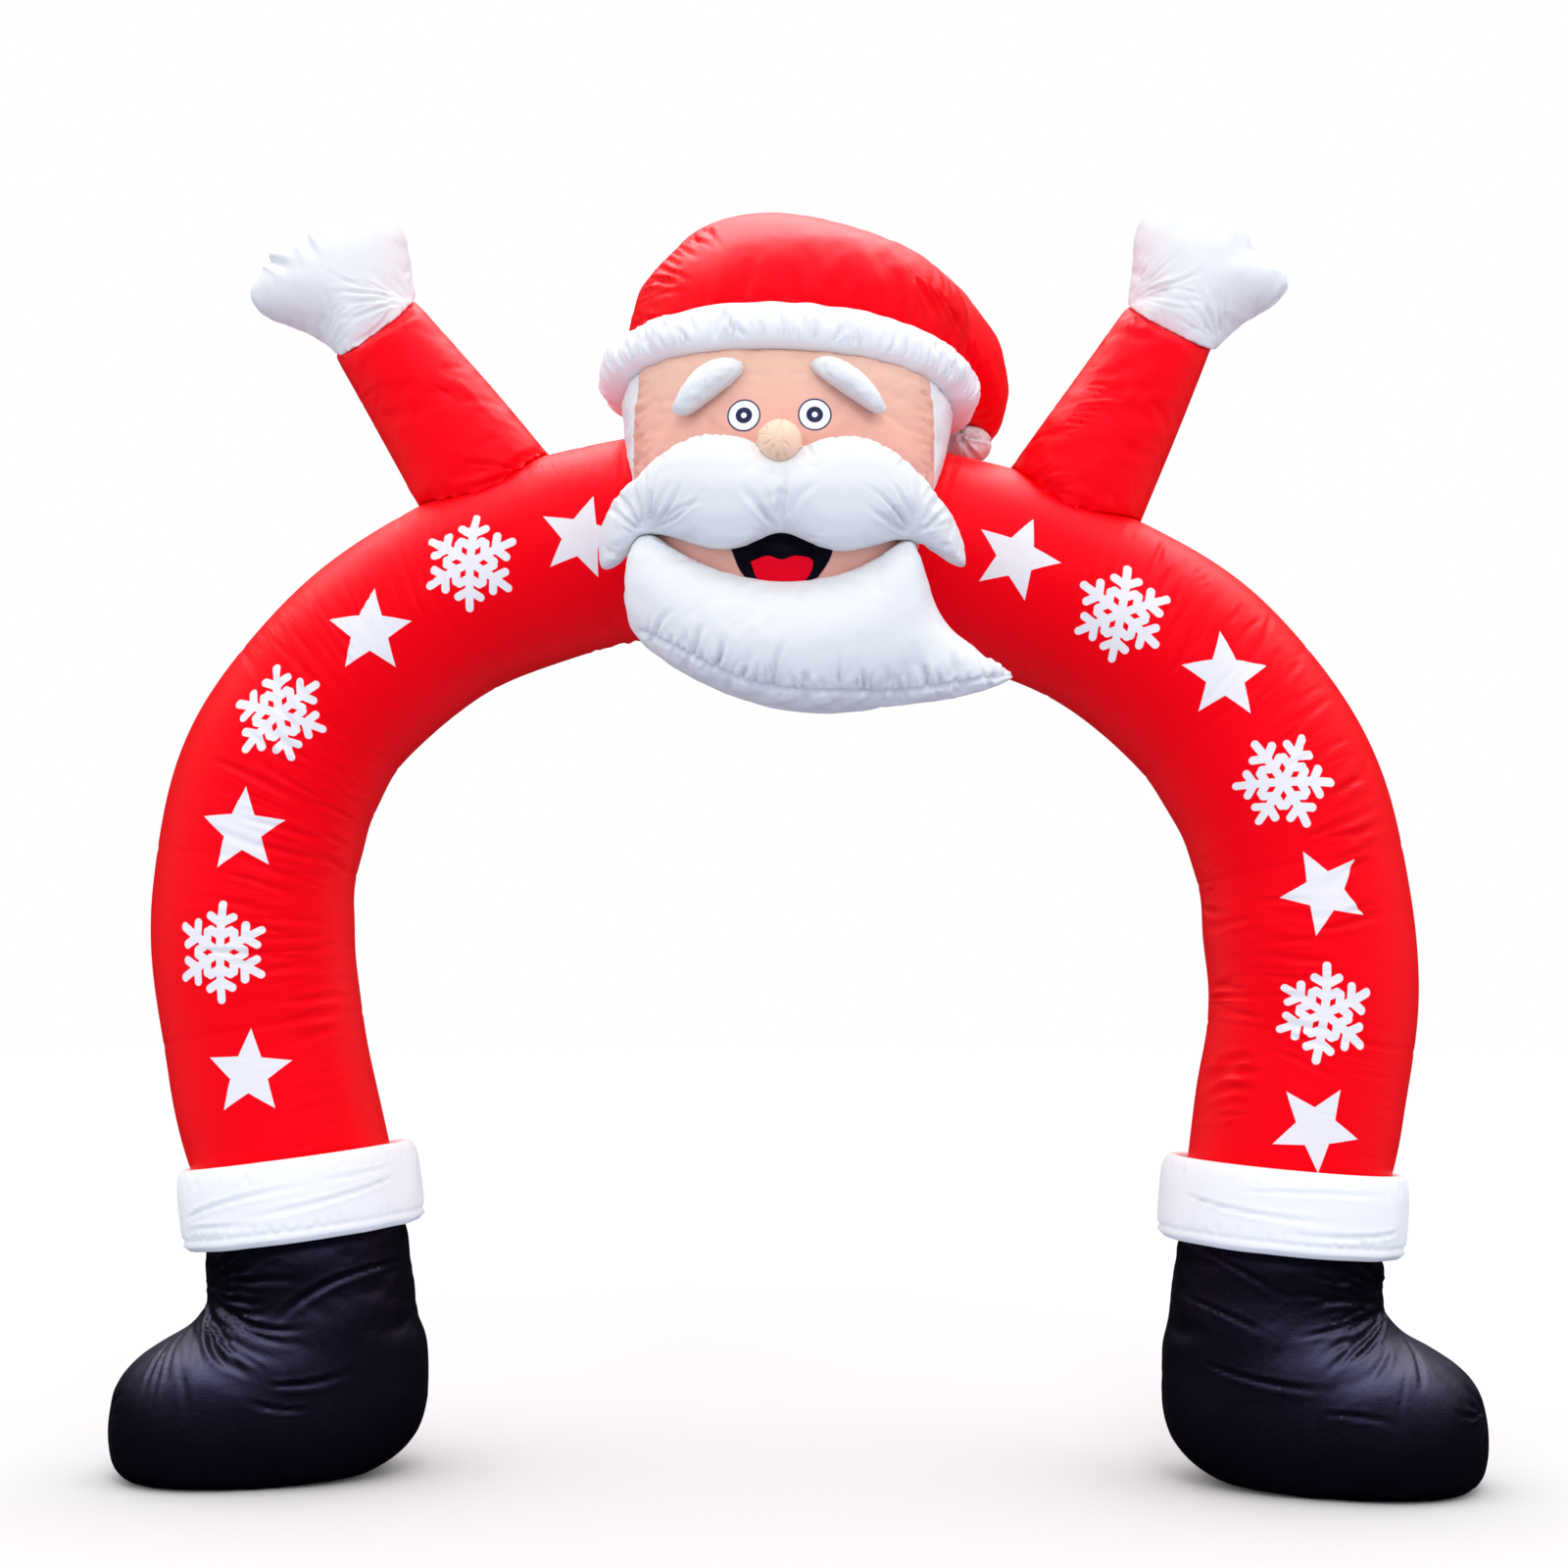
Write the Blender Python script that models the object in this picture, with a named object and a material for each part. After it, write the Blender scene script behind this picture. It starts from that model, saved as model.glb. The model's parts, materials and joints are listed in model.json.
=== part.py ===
"""Inflatable entrance arch: a festive bearded figure in a red hat, with both arms raised.

One air-filled nylon tube stands on two boots and carries the arms and the head.
Metres, +Z up, the front faces -Y. While it is modelled, the tube's centre line lies in the plane
y = 0 and the floor is z = 0. The last step moves everything over the origin, so that the origin is
the middle of the bounding box's floor.
"""

import math

import bmesh
import bpy
import numpy as np
from mathutils import Matrix, Vector

# ---------------------------------------------------------------- driving dimensions, in metres
GAP = 0.0003            # clearance between neighbouring pieces
WELD = 0.00005          # slivers shorter than this are closed up after a cut

TUBE_SIDES = 18
TUBE_RINGS = 84
RIPPLE_DEPTH = 0.009    # the tube puckers on the inside of its two bends
RIPPLE_PITCH = 0.24
RIPPLE_X = 1.15         # the puckers are deepest at this distance from the middle
RIPPLE_SPREAD = 0.35
BEND_CENTRE_Z = 1.25
# the tube from the left ankle over the top to the right ankle: x, z, radius
ARCH_PATH = (
    (-1.254, 0.600, 0.257),
    (-1.366, 1.050, 0.260),
    (-1.412, 1.480, 0.264),
    (-1.310, 1.868, 0.263),
    (-1.016, 2.185, 0.259),
    (-0.600, 2.375, 0.267),
    (-0.150, 2.435, 0.268),
    (0.300, 2.388, 0.268),
    (0.704, 2.262, 0.260),
    (1.052, 2.032, 0.268),
    (1.270, 1.690, 0.269),
    (1.336, 1.260, 0.267),
    (1.296, 0.940, 0.262),
    (1.232, 0.580, 0.260),
)

# each leg: side (-1 is the image's left), middle of the cuff x and z, tilt of the cuff in degrees
LEGS = {
    "left": (-1, -1.274, 0.702, 7.5),
    "right": (1, 1.250, 0.685, 5.0),
}

CUFF_RADIUS = 0.312
LEG_RADIUS = 0.256      # tube and boot are drawn in to this radius where the cuff holds them
CUFF_HEIGHT = 0.208
CUFF_EDGE = 0.036       # rounding of the cuff's rims
CUFF_STEPS = 30
CUFF_RIM_STEPS = 2      # flats that round each rim
LEG_REACH = 0.60        # what lies within this distance of a cuff belongs to its leg

BOOT_SIDES = 24
BOOT_RINGS = 17
# height, inner x, outer x, half depth, squareness: the toe points outward
BOOT_SECTIONS = (
    (0.000, 1.140, 1.676, 0.215, 2.2),
    (0.012, 1.080, 1.710, 0.250, 2.3),
    (0.050, 1.012, 1.734, 0.280, 2.4),
    (0.110, 0.964, 1.744, 0.300, 2.4),
    (0.180, 0.944, 1.740, 0.303, 2.4),
    (0.245, 0.942, 1.722, 0.300, 2.3),
    (0.300, 0.943, 1.676, 0.294, 2.2),
    (0.350, 0.947, 1.592, 0.286, 2.2),
    (0.410, 0.957, 1.514, 0.277, 2.1),
    (0.480, 0.970, 1.494, 0.268, 2.0),
    (0.600, 0.990, 1.506, 0.262, 2.0),
    (0.800, 1.016, 1.532, 0.260, 2.0),
)
SHAFT_SHIFT = {"left": 0.012, "right": 0.0}     # how far each shaft leans out above the ankle
ANKLE_HEIGHT = 0.36     # where half of that shift is reached
ANKLE_BLEND = 0.12      # and the height over which it grows
TOE_TURN = 18.0         # the toes also point a little forward, in degrees
LEG_X = 1.236           # the boots turn about this distance from the middle
# creases that fan out from the ankle: start x, z, end x, z, half width, depth
ANKLE_CREASES = (
    (1.515, 0.420, 1.200, 0.460, 0.040, 0.012),
    (1.530, 0.390, 1.250, 0.340, 0.045, 0.014),
    (1.540, 0.370, 1.330, 0.230, 0.045, 0.012),
    (0.965, 0.400, 1.160, 0.350, 0.040, 0.010),
)
CREASE_FADE = 0.6       # share of its depth that a crease loses towards its end

SLEEVE_SIDES = 18
SLEEVE_RINGS = 9
# axis and radius of each raised sleeve, from inside the tube to past the wrist: x, z, radius
SLEEVES = {
    "left": (
        (-0.690, 2.340, 0.216),
        (-0.800, 2.540, 0.192),
        (-0.953, 2.770, 0.162),
        (-1.124, 3.006, 0.132),
        (-1.182, 3.087, 0.128),
    ),
    "right": (
        (0.640, 2.300, 0.206),
        (0.746, 2.520, 0.187),
        (0.877, 2.750, 0.156),
        (1.002, 2.980, 0.127),
        (1.050, 3.068, 0.124),
    ),
}

WRIST_ROW = -2          # the row of the sleeve's table that is its wrist
WRIST_SEAM = 0.012      # the sleeve ends this far short of it
WRIST_DIP = {"left": 0.52, "right": 0.40}   # slope of the wrist's seam, which dips at the front
MITTEN_HALF_THICKNESS = 0.128
MITTEN_TURNS = 4        # rings from the rim to the middle of each face
# rims of the mittens, seen from the front: x, z; the first and last points lie inside the sleeve
MITTENS = {
    "left": (
        (-1.100, 2.760), (-1.185, 2.870), (-1.246, 2.954), (-1.356, 3.006), (-1.438, 3.048), (-1.456, 3.090),
        (-1.418, 3.140), (-1.398, 3.192), (-1.352, 3.230), (-1.300, 3.238), (-1.262, 3.276),
        (-1.218, 3.292), (-1.176, 3.278), (-1.130, 3.296), (-1.078, 3.302), (-1.042, 3.272),
        (-1.024, 3.200), (-1.010, 3.120), (-0.992, 3.050), (-0.948, 2.960), (-0.905, 2.850),
    ),
    "right": (
        (0.800, 2.830), (0.842, 2.930), (0.880, 3.020), (0.895, 3.110), (0.904, 3.200),
        (0.926, 3.266),
        (0.974, 3.294), (1.018, 3.268), (1.068, 3.270), (1.124, 3.260), (1.176, 3.238),
        (1.204, 3.196), (1.222, 3.150), (1.276, 3.114), (1.318, 3.082), (1.290, 3.042),
        (1.206, 2.986), (1.130, 2.920), (1.082, 2.835), (1.020, 2.740),
    ),
}

HEAD_SIDES = 28
HEAD_RINGS = 13
HEAD_SQUARENESS = 2.2
# height, half width, front y, back y: the last row is the plane of the hat's opening
HEAD_SECTIONS = (
    (2.090, 0.120, -0.500, -0.400),
    (2.115, 0.195, -0.535, -0.350),
    (2.180, 0.275, -0.572, -0.290),
    (2.280, 0.326, -0.603, -0.260),
    (2.400, 0.352, -0.620, -0.250),
    (2.550, 0.400, -0.618, 0.080),
    (2.700, 0.426, -0.600, 0.270),
    (2.830, 0.422, -0.574, 0.290),
)
FACE_SEAM_Y = -0.400    # the skin-coloured front is sewn to the white back of the head here

BAND_CENTRE = (0.0, -0.140, 2.780)
BAND_HALF_WIDTH = 0.430
BAND_HALF_DEPTH = 0.440
BAND_RADIUS = 0.058
BAND_PITCH = 6.0        # the band is higher at the forehead, in degrees
BAND_ROLL = 2.5         # and a little higher at the image's left
BAND_STEPS = 32
BAND_SIDES = 10

HAT_SIDES = 22
HAT_RINGS = 11
# dome of the hat: height, middle x, half width, half depth
HAT_SECTIONS = (
    (2.785, 0.000, 0.425, 0.436),
    (2.860, 0.012, 0.440, 0.434),
    (2.950, 0.036, 0.438, 0.416),
    (3.030, 0.032, 0.410, 0.380),
    (3.100, 0.012, 0.320, 0.314),
    (3.155, -0.034, 0.230, 0.236),
    (3.190, -0.048, 0.138, 0.144),
    (3.208, -0.052, 0.046, 0.048),
)
HAT_MIDDLE_Y = -0.140
TAIL_SIDES = 14
TAIL_RINGS = 8
# tail of the hat, which hangs over the band at the image's right and back: x, y, z, radius
TAIL_SECTIONS = (
    (0.030, -0.110, 2.890, 0.255),
    (0.190, -0.050, 2.920, 0.246),
    (0.342, 0.028, 2.905, 0.210),
    (0.458, 0.095, 2.845, 0.142),
    (0.494, 0.135, 2.765, 0.080),
    (0.484, 0.148, 2.700, 0.045),
)
POMPOM_CENTRE = (0.468, 0.116, 2.686)
POMPOM_RADII = (0.066, 0.062, 0.054)

# brow rims seen from the front: x, z
BROWS = {
    "left": (
        (-0.262, 2.615), (-0.250, 2.652), (-0.218, 2.700), (-0.168, 2.740), (-0.108, 2.746),
        (-0.082, 2.728), (-0.096, 2.696), (-0.140, 2.662), (-0.188, 2.628), (-0.228, 2.604),
    ),
    "right": (
        (0.072, 2.728), (0.096, 2.748), (0.150, 2.738), (0.204, 2.700), (0.244, 2.652),
        (0.258, 2.616), (0.232, 2.604), (0.190, 2.630), (0.138, 2.664), (0.090, 2.698),
    ),
}
BROW_Y = -0.590
BROW_HALF_THICKNESS = 0.062
BROW_TURNS = 3

NOSE_CENTRE = (0.004, -0.668, 2.522)
NOSE_RADII = (0.056, 0.060, 0.054)

MOUSTACHE_SIDES = 12
MOUSTACHE_STATIONS = 29
# x, upper edge, lower edge, middle y, half depth: the two lobes wrap round the cheeks
MOUSTACHE_SECTIONS = (
    (-0.450, 2.304, 2.270, -0.455, 0.014),
    (-0.436, 2.362, 2.250, -0.470, 0.045),
    (-0.396, 2.428, 2.262, -0.500, 0.075),
    (-0.330, 2.486, 2.320, -0.540, 0.090),
    (-0.260, 2.534, 2.312, -0.580, 0.098),
    (-0.180, 2.556, 2.276, -0.610, 0.100),
    (-0.100, 2.548, 2.268, -0.628, 0.094),
    (-0.040, 2.524, 2.298, -0.634, 0.080),
    (0.004, 2.504, 2.314, -0.634, 0.070),
    (0.050, 2.518, 2.298, -0.634, 0.080),
    (0.110, 2.540, 2.266, -0.628, 0.094),
    (0.190, 2.548, 2.266, -0.610, 0.100),
    (0.270, 2.520, 2.300, -0.580, 0.098),
    (0.340, 2.466, 2.296, -0.540, 0.090),
    (0.400, 2.390, 2.262, -0.500, 0.075),
    (0.434, 2.330, 2.248, -0.470, 0.045),
    (0.448, 2.292, 2.262, -0.455, 0.014),
)

BEARD_SIDES = 12
BEARD_STATIONS = 35
BEARD_SQUARENESS = 2.3
BEARD_SEAM = 0.25       # the lower seam runs this share of the beard's depth behind its front
TUCK_DEPTH = 0.009      # gathers along the beard's lower seam
TUCK_REACH = 0.09
TUCK_FULL = 0.20        # the gathers shrink where the beard is narrower than this
# x, upper edge, lower edge, front y, back y: the beard curls to a point at the image's right
BEARD_SECTIONS = (
    (-0.374, 2.255, 2.135, -0.560, -0.500),
    (-0.362, 2.310, 2.085, -0.595, -0.440),
    (-0.320, 2.342, 2.046, -0.630, -0.380),
    (-0.250, 2.297, 2.000, -0.658, -0.330),
    (-0.160, 2.253, 1.955, -0.676, -0.300),
    (-0.060, 2.226, 1.920, -0.684, -0.290),
    (0.040, 2.221, 1.898, -0.684, -0.290),
    (0.140, 2.237, 1.900, -0.676, -0.300),
    (0.230, 2.276, 1.912, -0.660, -0.320),
    (0.288, 2.320, 1.922, -0.643, -0.345),
    (0.320, 2.334, 1.927, -0.632, -0.360),
    (0.338, 2.236, 1.930, -0.624, -0.374),
    (0.356, 2.150, 1.933, -0.616, -0.390),
    (0.400, 2.080, 1.940, -0.603, -0.425),
    (0.460, 2.034, 1.950, -0.586, -0.460),
    (0.530, 2.000, 1.966, -0.566, -0.505),
    (0.562, 1.988, 1.978, -0.550, -0.530),
)

MOUTH_WALL = 0.0020     # thickness of the sewn mouth panel and tongue
MOUTH_FRONT = -0.80     # the panels are cut from the face's skin between these two y values
MOUTH_BACK = -0.45
# rims seen from the front: x, z
MOUTH_RIM = (
    (-0.118, 2.284), (-0.060, 2.320), (0.004, 2.340), (0.070, 2.320), (0.126, 2.284),
    (0.098, 2.222), (0.050, 2.186), (-0.040, 2.186), (-0.090, 2.222),
)
TONGUE_RIM = (
    (-0.070, 2.250), (-0.030, 2.262), (0.005, 2.252), (0.040, 2.262), (0.080, 2.250),
    (0.052, 2.198), (-0.042, 2.198),
)

# colour, roughness
FINISHES = {
    "red_nylon": ((0.80, 0.005, 0.015, 1.0), 0.45),
    "white_nylon": ((0.86, 0.88, 0.92, 1.0), 0.50),
    "black_nylon": ((0.012, 0.012, 0.018, 1.0), 0.32),
    "skin_nylon": ((0.86, 0.56, 0.38, 1.0), 0.50),
    "nose_nylon": ((0.80, 0.50, 0.30, 1.0), 0.50),
    "tongue_nylon": ((0.80, 0.03, 0.05, 1.0), 0.45),
}


# ---------------------------------------------------------------- scene helpers
def clear_scene():
    """Remove every object of the open scene."""
    for obj in list(bpy.data.objects):
        bpy.data.objects.remove(obj, do_unlink=True)


def new_collection(name):
    """Make a collection and link it to the scene."""
    collection = bpy.data.collections.new(name)
    bpy.context.scene.collection.children.link(collection)
    return collection


def make_materials():
    """One Principled material for each cloth."""
    materials = {}
    for name, (colour, roughness) in FINISHES.items():
        material = bpy.data.materials.new(name)
        material.use_nodes = True
        shader = material.node_tree.nodes["Principled BSDF"]
        shader.inputs["Base Color"].default_value = colour
        shader.inputs["Roughness"].default_value = roughness
        shader.inputs["Metallic"].default_value = 0.0
        material.diffuse_color = colour
        materials[name] = material
    return materials


clear_scene()
ARCH = new_collection("inflatable_arch")
CUTTERS = new_collection("cutters")
MATERIALS = make_materials()


def add_piece(name, mesh, finish, collection=None):
    """Link a mesh as a named piece with its own copy of a cloth's material, or as a cutter."""
    piece = bpy.data.objects.new(name, mesh)
    (collection or ARCH).objects.link(piece)
    if collection == CUTTERS:
        piece.hide_render = True
        piece.display_type = "WIRE"
    if finish:
        material = MATERIALS[finish].copy()
        material.name = f"{name}_{finish}"
        mesh.materials.clear()
        mesh.materials.append(material)
        mesh.shade_smooth()
    return piece


def mesh_from(build):
    """A new mesh of triangles, filled by a function that works on a bmesh, facing outward."""
    bm = bmesh.new()
    build(bm)
    bmesh.ops.recalc_face_normals(bm, faces=bm.faces)
    bmesh.ops.triangulate(bm, faces=bm.faces)
    mesh = bpy.data.meshes.new("piece")
    bm.to_mesh(mesh)
    bm.free()
    return mesh


def grown(piece, amount=GAP):
    """A cutter that stands `amount` proud of a piece all over."""
    mesh = piece.data.copy()
    bm = bmesh.new()
    bm.from_mesh(mesh)
    bm.normal_update()
    moves = [(vert, vert.normal * amount * vert.calc_shell_factor()) for vert in bm.verts]
    for vert, move in moves:
        vert.co += move
    bm.to_mesh(mesh)
    bm.free()
    return add_piece(f"cutter_{piece.name}", mesh, None, CUTTERS)


def combine(piece, cutter, operation="DIFFERENCE"):
    """Cut a piece with a cutter, or keep what both share, and bake the result into its mesh."""
    modifier = piece.modifiers.new(operation.lower(), "BOOLEAN")
    modifier.operation = operation
    modifier.solver = "EXACT"
    modifier.object = cutter
    bpy.context.view_layer.update()
    evaluated = piece.evaluated_get(bpy.context.evaluated_depsgraph_get())
    baked = bpy.data.meshes.new_from_object(evaluated)
    piece.modifiers.clear()
    piece.data = baked
    bm = bmesh.new()
    bm.from_mesh(baked)
    bmesh.ops.triangulate(bm, faces=bm.faces)
    bmesh.ops.dissolve_degenerate(bm, dist=WELD, edges=bm.edges)
    bm.to_mesh(baked)
    bm.free()


def slice_off(piece, point, normal):
    """Cut away what lies on the normal's side of a plane and close the cut with a flat face."""
    bm = bmesh.new()
    bm.from_mesh(piece.data)
    geometry = list(bm.verts) + list(bm.edges) + list(bm.faces)
    bmesh.ops.bisect_plane(bm, geom=geometry, dist=1e-6, plane_co=Vector(point),
                           plane_no=Vector(normal), clear_outer=True)
    rim = [edge for edge in bm.edges if edge.is_boundary]
    bmesh.ops.contextual_create(bm, geom=rim)
    bmesh.ops.recalc_face_normals(bm, faces=bm.faces)
    bm.to_mesh(piece.data)
    bm.free()


# ---------------------------------------------------------------- shape helpers
def smooth_rows(rows, count):
    """Read `count` even rows from a smooth curve that passes through a table's rows."""
    table = np.array(rows, dtype=float)
    before = 2.0 * table[0] - table[1]
    after = 2.0 * table[-1] - table[-2]
    padded = np.vstack((before, table, after))
    result = []
    for place in np.linspace(0.0, len(table) - 1.0, count):
        index = min(int(place), len(table) - 2)
        t = place - index
        a, b, c, d = padded[index:index + 4]
        result.append(0.5 * (2.0 * b + (c - a) * t + (2.0 * a - 5.0 * b + 4.0 * c - d) * t ** 2
                             + (3.0 * b - a - 3.0 * c + d) * t ** 3))
    return result


def smooth_loop(points, per_point):
    """A closed smooth outline through hand-placed points, `per_point` steps between two of them."""
    count = len(points)
    wrapped = [points[-1], *points, points[0], points[1]]
    rows = smooth_rows(wrapped, (count + 2) * per_point + 1)
    return rows[per_point:per_point + count * per_point]


def round_ring(centre, across, along, half_across, half_along, sides, squareness=2.0):
    """Points of a rounded section: an ellipse when squareness is 2, boxier above that."""
    ring = []
    for step in range(sides):
        angle = 2.0 * math.pi * step / sides
        cos, sin = math.cos(angle), math.sin(angle)
        u = math.copysign(abs(cos) ** (2.0 / squareness), cos) * half_across
        v = math.copysign(abs(sin) ** (2.0 / squareness), sin) * half_along
        ring.append(Vector(centre) + Vector(across) * u + Vector(along) * v)
    return ring


def loft(bm, rings):
    """Skin a stack of rings with equal point counts and close both ends."""
    loops = [[bm.verts.new(point) for point in ring] for ring in rings]
    count = len(loops[0])
    for lower, upper in zip(loops, loops[1:]):
        for i in range(count):
            j = (i + 1) % count
            bm.faces.new((lower[i], lower[j], upper[j], upper[i]))
    bm.faces.new(loops[0])
    bm.faces.new(list(reversed(loops[-1])))


def pillow(bm, rim, centre, y_middle, half_thickness, turns):
    """Two panels sewn along a rim and blown up: domed front and back, thin at the seam."""
    middle = Vector((centre[0], 0.0, centre[1]))
    seam = [bm.verts.new((x, y_middle, z)) for x, z in rim]
    for side in (-1.0, 1.0):
        outer = seam
        for turn in range(1, turns):
            angle = 0.5 * math.pi * turn / turns
            share = math.cos(angle)
            lift = side * half_thickness * math.sin(angle)
            inner = []
            for x, z in rim:
                point = middle.lerp(Vector((x, 0.0, z)), share)
                inner.append(bm.verts.new((point.x, y_middle + lift, point.z)))
            for i in range(len(rim)):
                j = (i + 1) % len(rim)
                bm.faces.new((outer[i], outer[j], inner[j], inner[i]))
            outer = inner
        pole = bm.verts.new((middle.x, y_middle + side * half_thickness, middle.z))
        for i in range(len(rim)):
            bm.faces.new((outer[i], outer[(i + 1) % len(rim)], pole))


def ball(name, centre, radii, finish, segments=12, rings=8):
    """A small air-filled ball."""
    def build(bm):
        place = Matrix.Translation(centre) @ Matrix.Diagonal((*radii, 1.0))
        bmesh.ops.create_uvsphere(bm, u_segments=segments, v_segments=rings, radius=1.0, matrix=place)
    return add_piece(name, mesh_from(build), finish)


def swept_tube(name, rows, sides, finish):
    """A tube along x, z points in the plane y = 0; a row's last value is its radius there."""
    curve = bpy.data.curves.new(name, "CURVE")
    curve.dimensions = "3D"
    curve.twist_mode = "MINIMUM"
    curve.bevel_depth = 1.0
    curve.bevel_resolution = (sides - 4) // 2
    curve.use_fill_caps = True
    spline = curve.splines.new("POLY")
    spline.points.add(len(rows) - 1)
    for point, (x, z, radius) in zip(spline.points, rows):
        point.co = (x, 0.0, z, 1.0)
        point.radius = radius
    guide = bpy.data.objects.new(f"{name}_guide", curve)
    CUTTERS.objects.link(guide)
    bpy.context.view_layer.update()
    evaluated = guide.evaluated_get(bpy.context.evaluated_depsgraph_get())
    mesh = bpy.data.meshes.new_from_object(evaluated)
    bpy.data.objects.remove(guide, do_unlink=True)
    bm = bmesh.new()
    bm.from_mesh(mesh)
    bmesh.ops.remove_doubles(bm, verts=bm.verts, dist=WELD / 10.0)
    bmesh.ops.recalc_face_normals(bm, faces=bm.faces)
    bmesh.ops.triangulate(bm, faces=bm.faces)
    bm.to_mesh(mesh)
    bm.free()
    return add_piece(name, mesh, finish)


def press_creases(piece, creases, side):
    """Sink soft troughs into a piece along lines in the x, z plane, given for the side at +X."""
    bm = bmesh.new()
    bm.from_mesh(piece.data)
    bm.normal_update()
    moves = []
    for vert in bm.verts:
        place = Vector((vert.co.x * side, vert.co.z))
        sink = 0.0
        for x0, z0, x1, z1, half_width, depth in creases:
            start, end = Vector((x0, z0)), Vector((x1, z1))
            line = end - start
            share = min(1.0, max(0.0, (place - start).dot(line) / line.length_squared))
            distance = (place - start - line * share).length
            if distance < half_width:
                fade = 1.0 - CREASE_FADE * share
                sink = max(sink, depth * fade * (1.0 - (distance / half_width) ** 2))
        moves.append(vert.normal * -sink)
    for vert, move in zip(bm.verts, moves):
        vert.co += move
    bm.to_mesh(piece.data)
    bm.free()


# ---------------------------------------------------------------- the arch and its legs
def make_arch_tube():
    """The red tube, puckered a little on the inside of its bends."""
    rows = smooth_rows(ARCH_PATH, TUBE_RINGS)
    tube = swept_tube("arch_tube", rows, TUBE_SIDES, "red_nylon")
    path = np.array(rows)[:, :2]
    bend_centre = Vector((0.0, 0.0, BEND_CENTRE_Z))
    travelled = np.concatenate(([0.0], np.cumsum(np.linalg.norm(np.diff(path, axis=0), axis=1))))
    for vert in tube.data.vertices:
        spans = [(vert.co.x - x) ** 2 + (vert.co.z - z) ** 2 for x, z in path]
        nearest = int(np.argmin(spans))
        x, z = path[nearest]
        spoke = vert.co - Vector((x, 0.0, z))
        inward = (bend_centre - Vector((x, 0.0, z))).normalized()
        inside = max(0.0, spoke.normalized().dot(inward))
        wave = 0.5 - 0.5 * math.cos(2.0 * math.pi * travelled[nearest] / RIPPLE_PITCH)
        bend = math.exp(-((abs(x) - RIPPLE_X) / RIPPLE_SPREAD) ** 2)
        vert.co -= spoke.normalized() * RIPPLE_DEPTH * wave * bend * inside
    return tube


def make_boot(label):
    """A black boot whose toe points outward, with creases at the ankle and a flat sole."""
    side = LEGS[label][0]

    def build(bm):
        rings = []
        for height, inner, outer, half_depth, squareness in smooth_rows(BOOT_SECTIONS, BOOT_RINGS):
            share = min(1.0, max(0.0, (height - ANKLE_HEIGHT) / ANKLE_BLEND + 0.5))
            middle = (0.5 * (inner + outer) + SHAFT_SHIFT[label] * share) * side
            rings.append(round_ring((middle, 0.0, height), (side, 0.0, 0.0), (0.0, 1.0, 0.0),
                                    0.5 * (outer - inner), half_depth, BOOT_SIDES, squareness))
        loft(bm, rings)
    boot = add_piece(f"boot_{label}", mesh_from(build), "black_nylon")
    press_creases(boot, ANKLE_CREASES, side)
    leg = Vector((side * LEG_X, 0.0, 0.0))
    turn = Matrix.Rotation(math.radians(-side * TOE_TURN), 4, "Z")
    boot.data.transform(Matrix.Translation(leg) @ turn @ Matrix.Translation(-leg))
    return boot


def leg_axis(label):
    """The upward axis of a leg at its cuff; the legs lean outward."""
    side, _, _, tilt = LEGS[label]
    return Vector((side * math.sin(math.radians(tilt)), 0.0, math.cos(math.radians(tilt))))


def make_cuff(label):
    """A thick white ring with rounded rims round the top of the boot."""
    side, x, z, tilt = LEGS[label]
    half = CUFF_HEIGHT / 2.0
    inner = LEG_RADIUS / math.cos(math.pi / CUFF_STEPS) + GAP
    profile = [(inner, -half), (inner, half)]
    for centre_z, first in ((half - CUFF_EDGE, 90.0), (CUFF_EDGE - half, 0.0)):
        for step in range(CUFF_RIM_STEPS + 1):
            angle = math.radians(first - 90.0 * step / CUFF_RIM_STEPS)
            profile.append((CUFF_RADIUS - CUFF_EDGE + CUFF_EDGE * math.cos(angle),
                            centre_z + CUFF_EDGE * math.sin(angle)))

    def build(bm):
        place = Matrix.Translation((x, 0.0, z)) @ Matrix.Rotation(math.radians(side * tilt), 4, "Y")
        verts = [bm.verts.new((radius, 0.0, height)) for radius, height in profile]
        edges = [bm.edges.new((a, b)) for a, b in zip(verts, verts[1:] + verts[:1])]
        bmesh.ops.spin(bm, geom=verts + edges, cent=(0.0, 0.0, 0.0), axis=(0.0, 0.0, 1.0),
                       angle=2.0 * math.pi, steps=CUFF_STEPS, use_merge=True)
        bmesh.ops.transform(bm, matrix=place, verts=bm.verts)
    return add_piece(f"cuff_{label}", mesh_from(build), "white_nylon")


def cut_near(bm, point, normal, **options):
    """Cut the faces round a point with a plane and leave the rest of the mesh alone."""
    near = [face for face in bm.faces if (face.calc_center_median() - point).length < LEG_REACH]
    edges = {edge for face in near for edge in face.edges}
    verts = {vert for face in near for vert in face.verts}
    bmesh.ops.bisect_plane(bm, geom=near + list(edges) + list(verts), dist=WELD, plane_co=point,
                           plane_no=normal, **options)


def draw_in(piece, middle, axis):
    """Hold a leg's skin within the cuff's hole, from rim to rim, where the cuff grips it."""
    half = CUFF_HEIGHT / 2.0 + 2.0 * GAP
    bm = bmesh.new()
    bm.from_mesh(piece.data)
    for height in (-half, half):
        cut_near(bm, middle + axis * height, axis)
    bmesh.ops.triangulate(bm, faces=bm.faces)
    for vert in bm.verts:
        spoke = vert.co - middle
        height = spoke.dot(axis)
        outward = spoke - axis * height
        if abs(height) < half + WELD and LEG_RADIUS < outward.length < 2.0 * LEG_RADIUS:
            vert.co = middle + axis * height + outward.normalized() * LEG_RADIUS
    bm.to_mesh(piece.data)
    bm.free()


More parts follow.
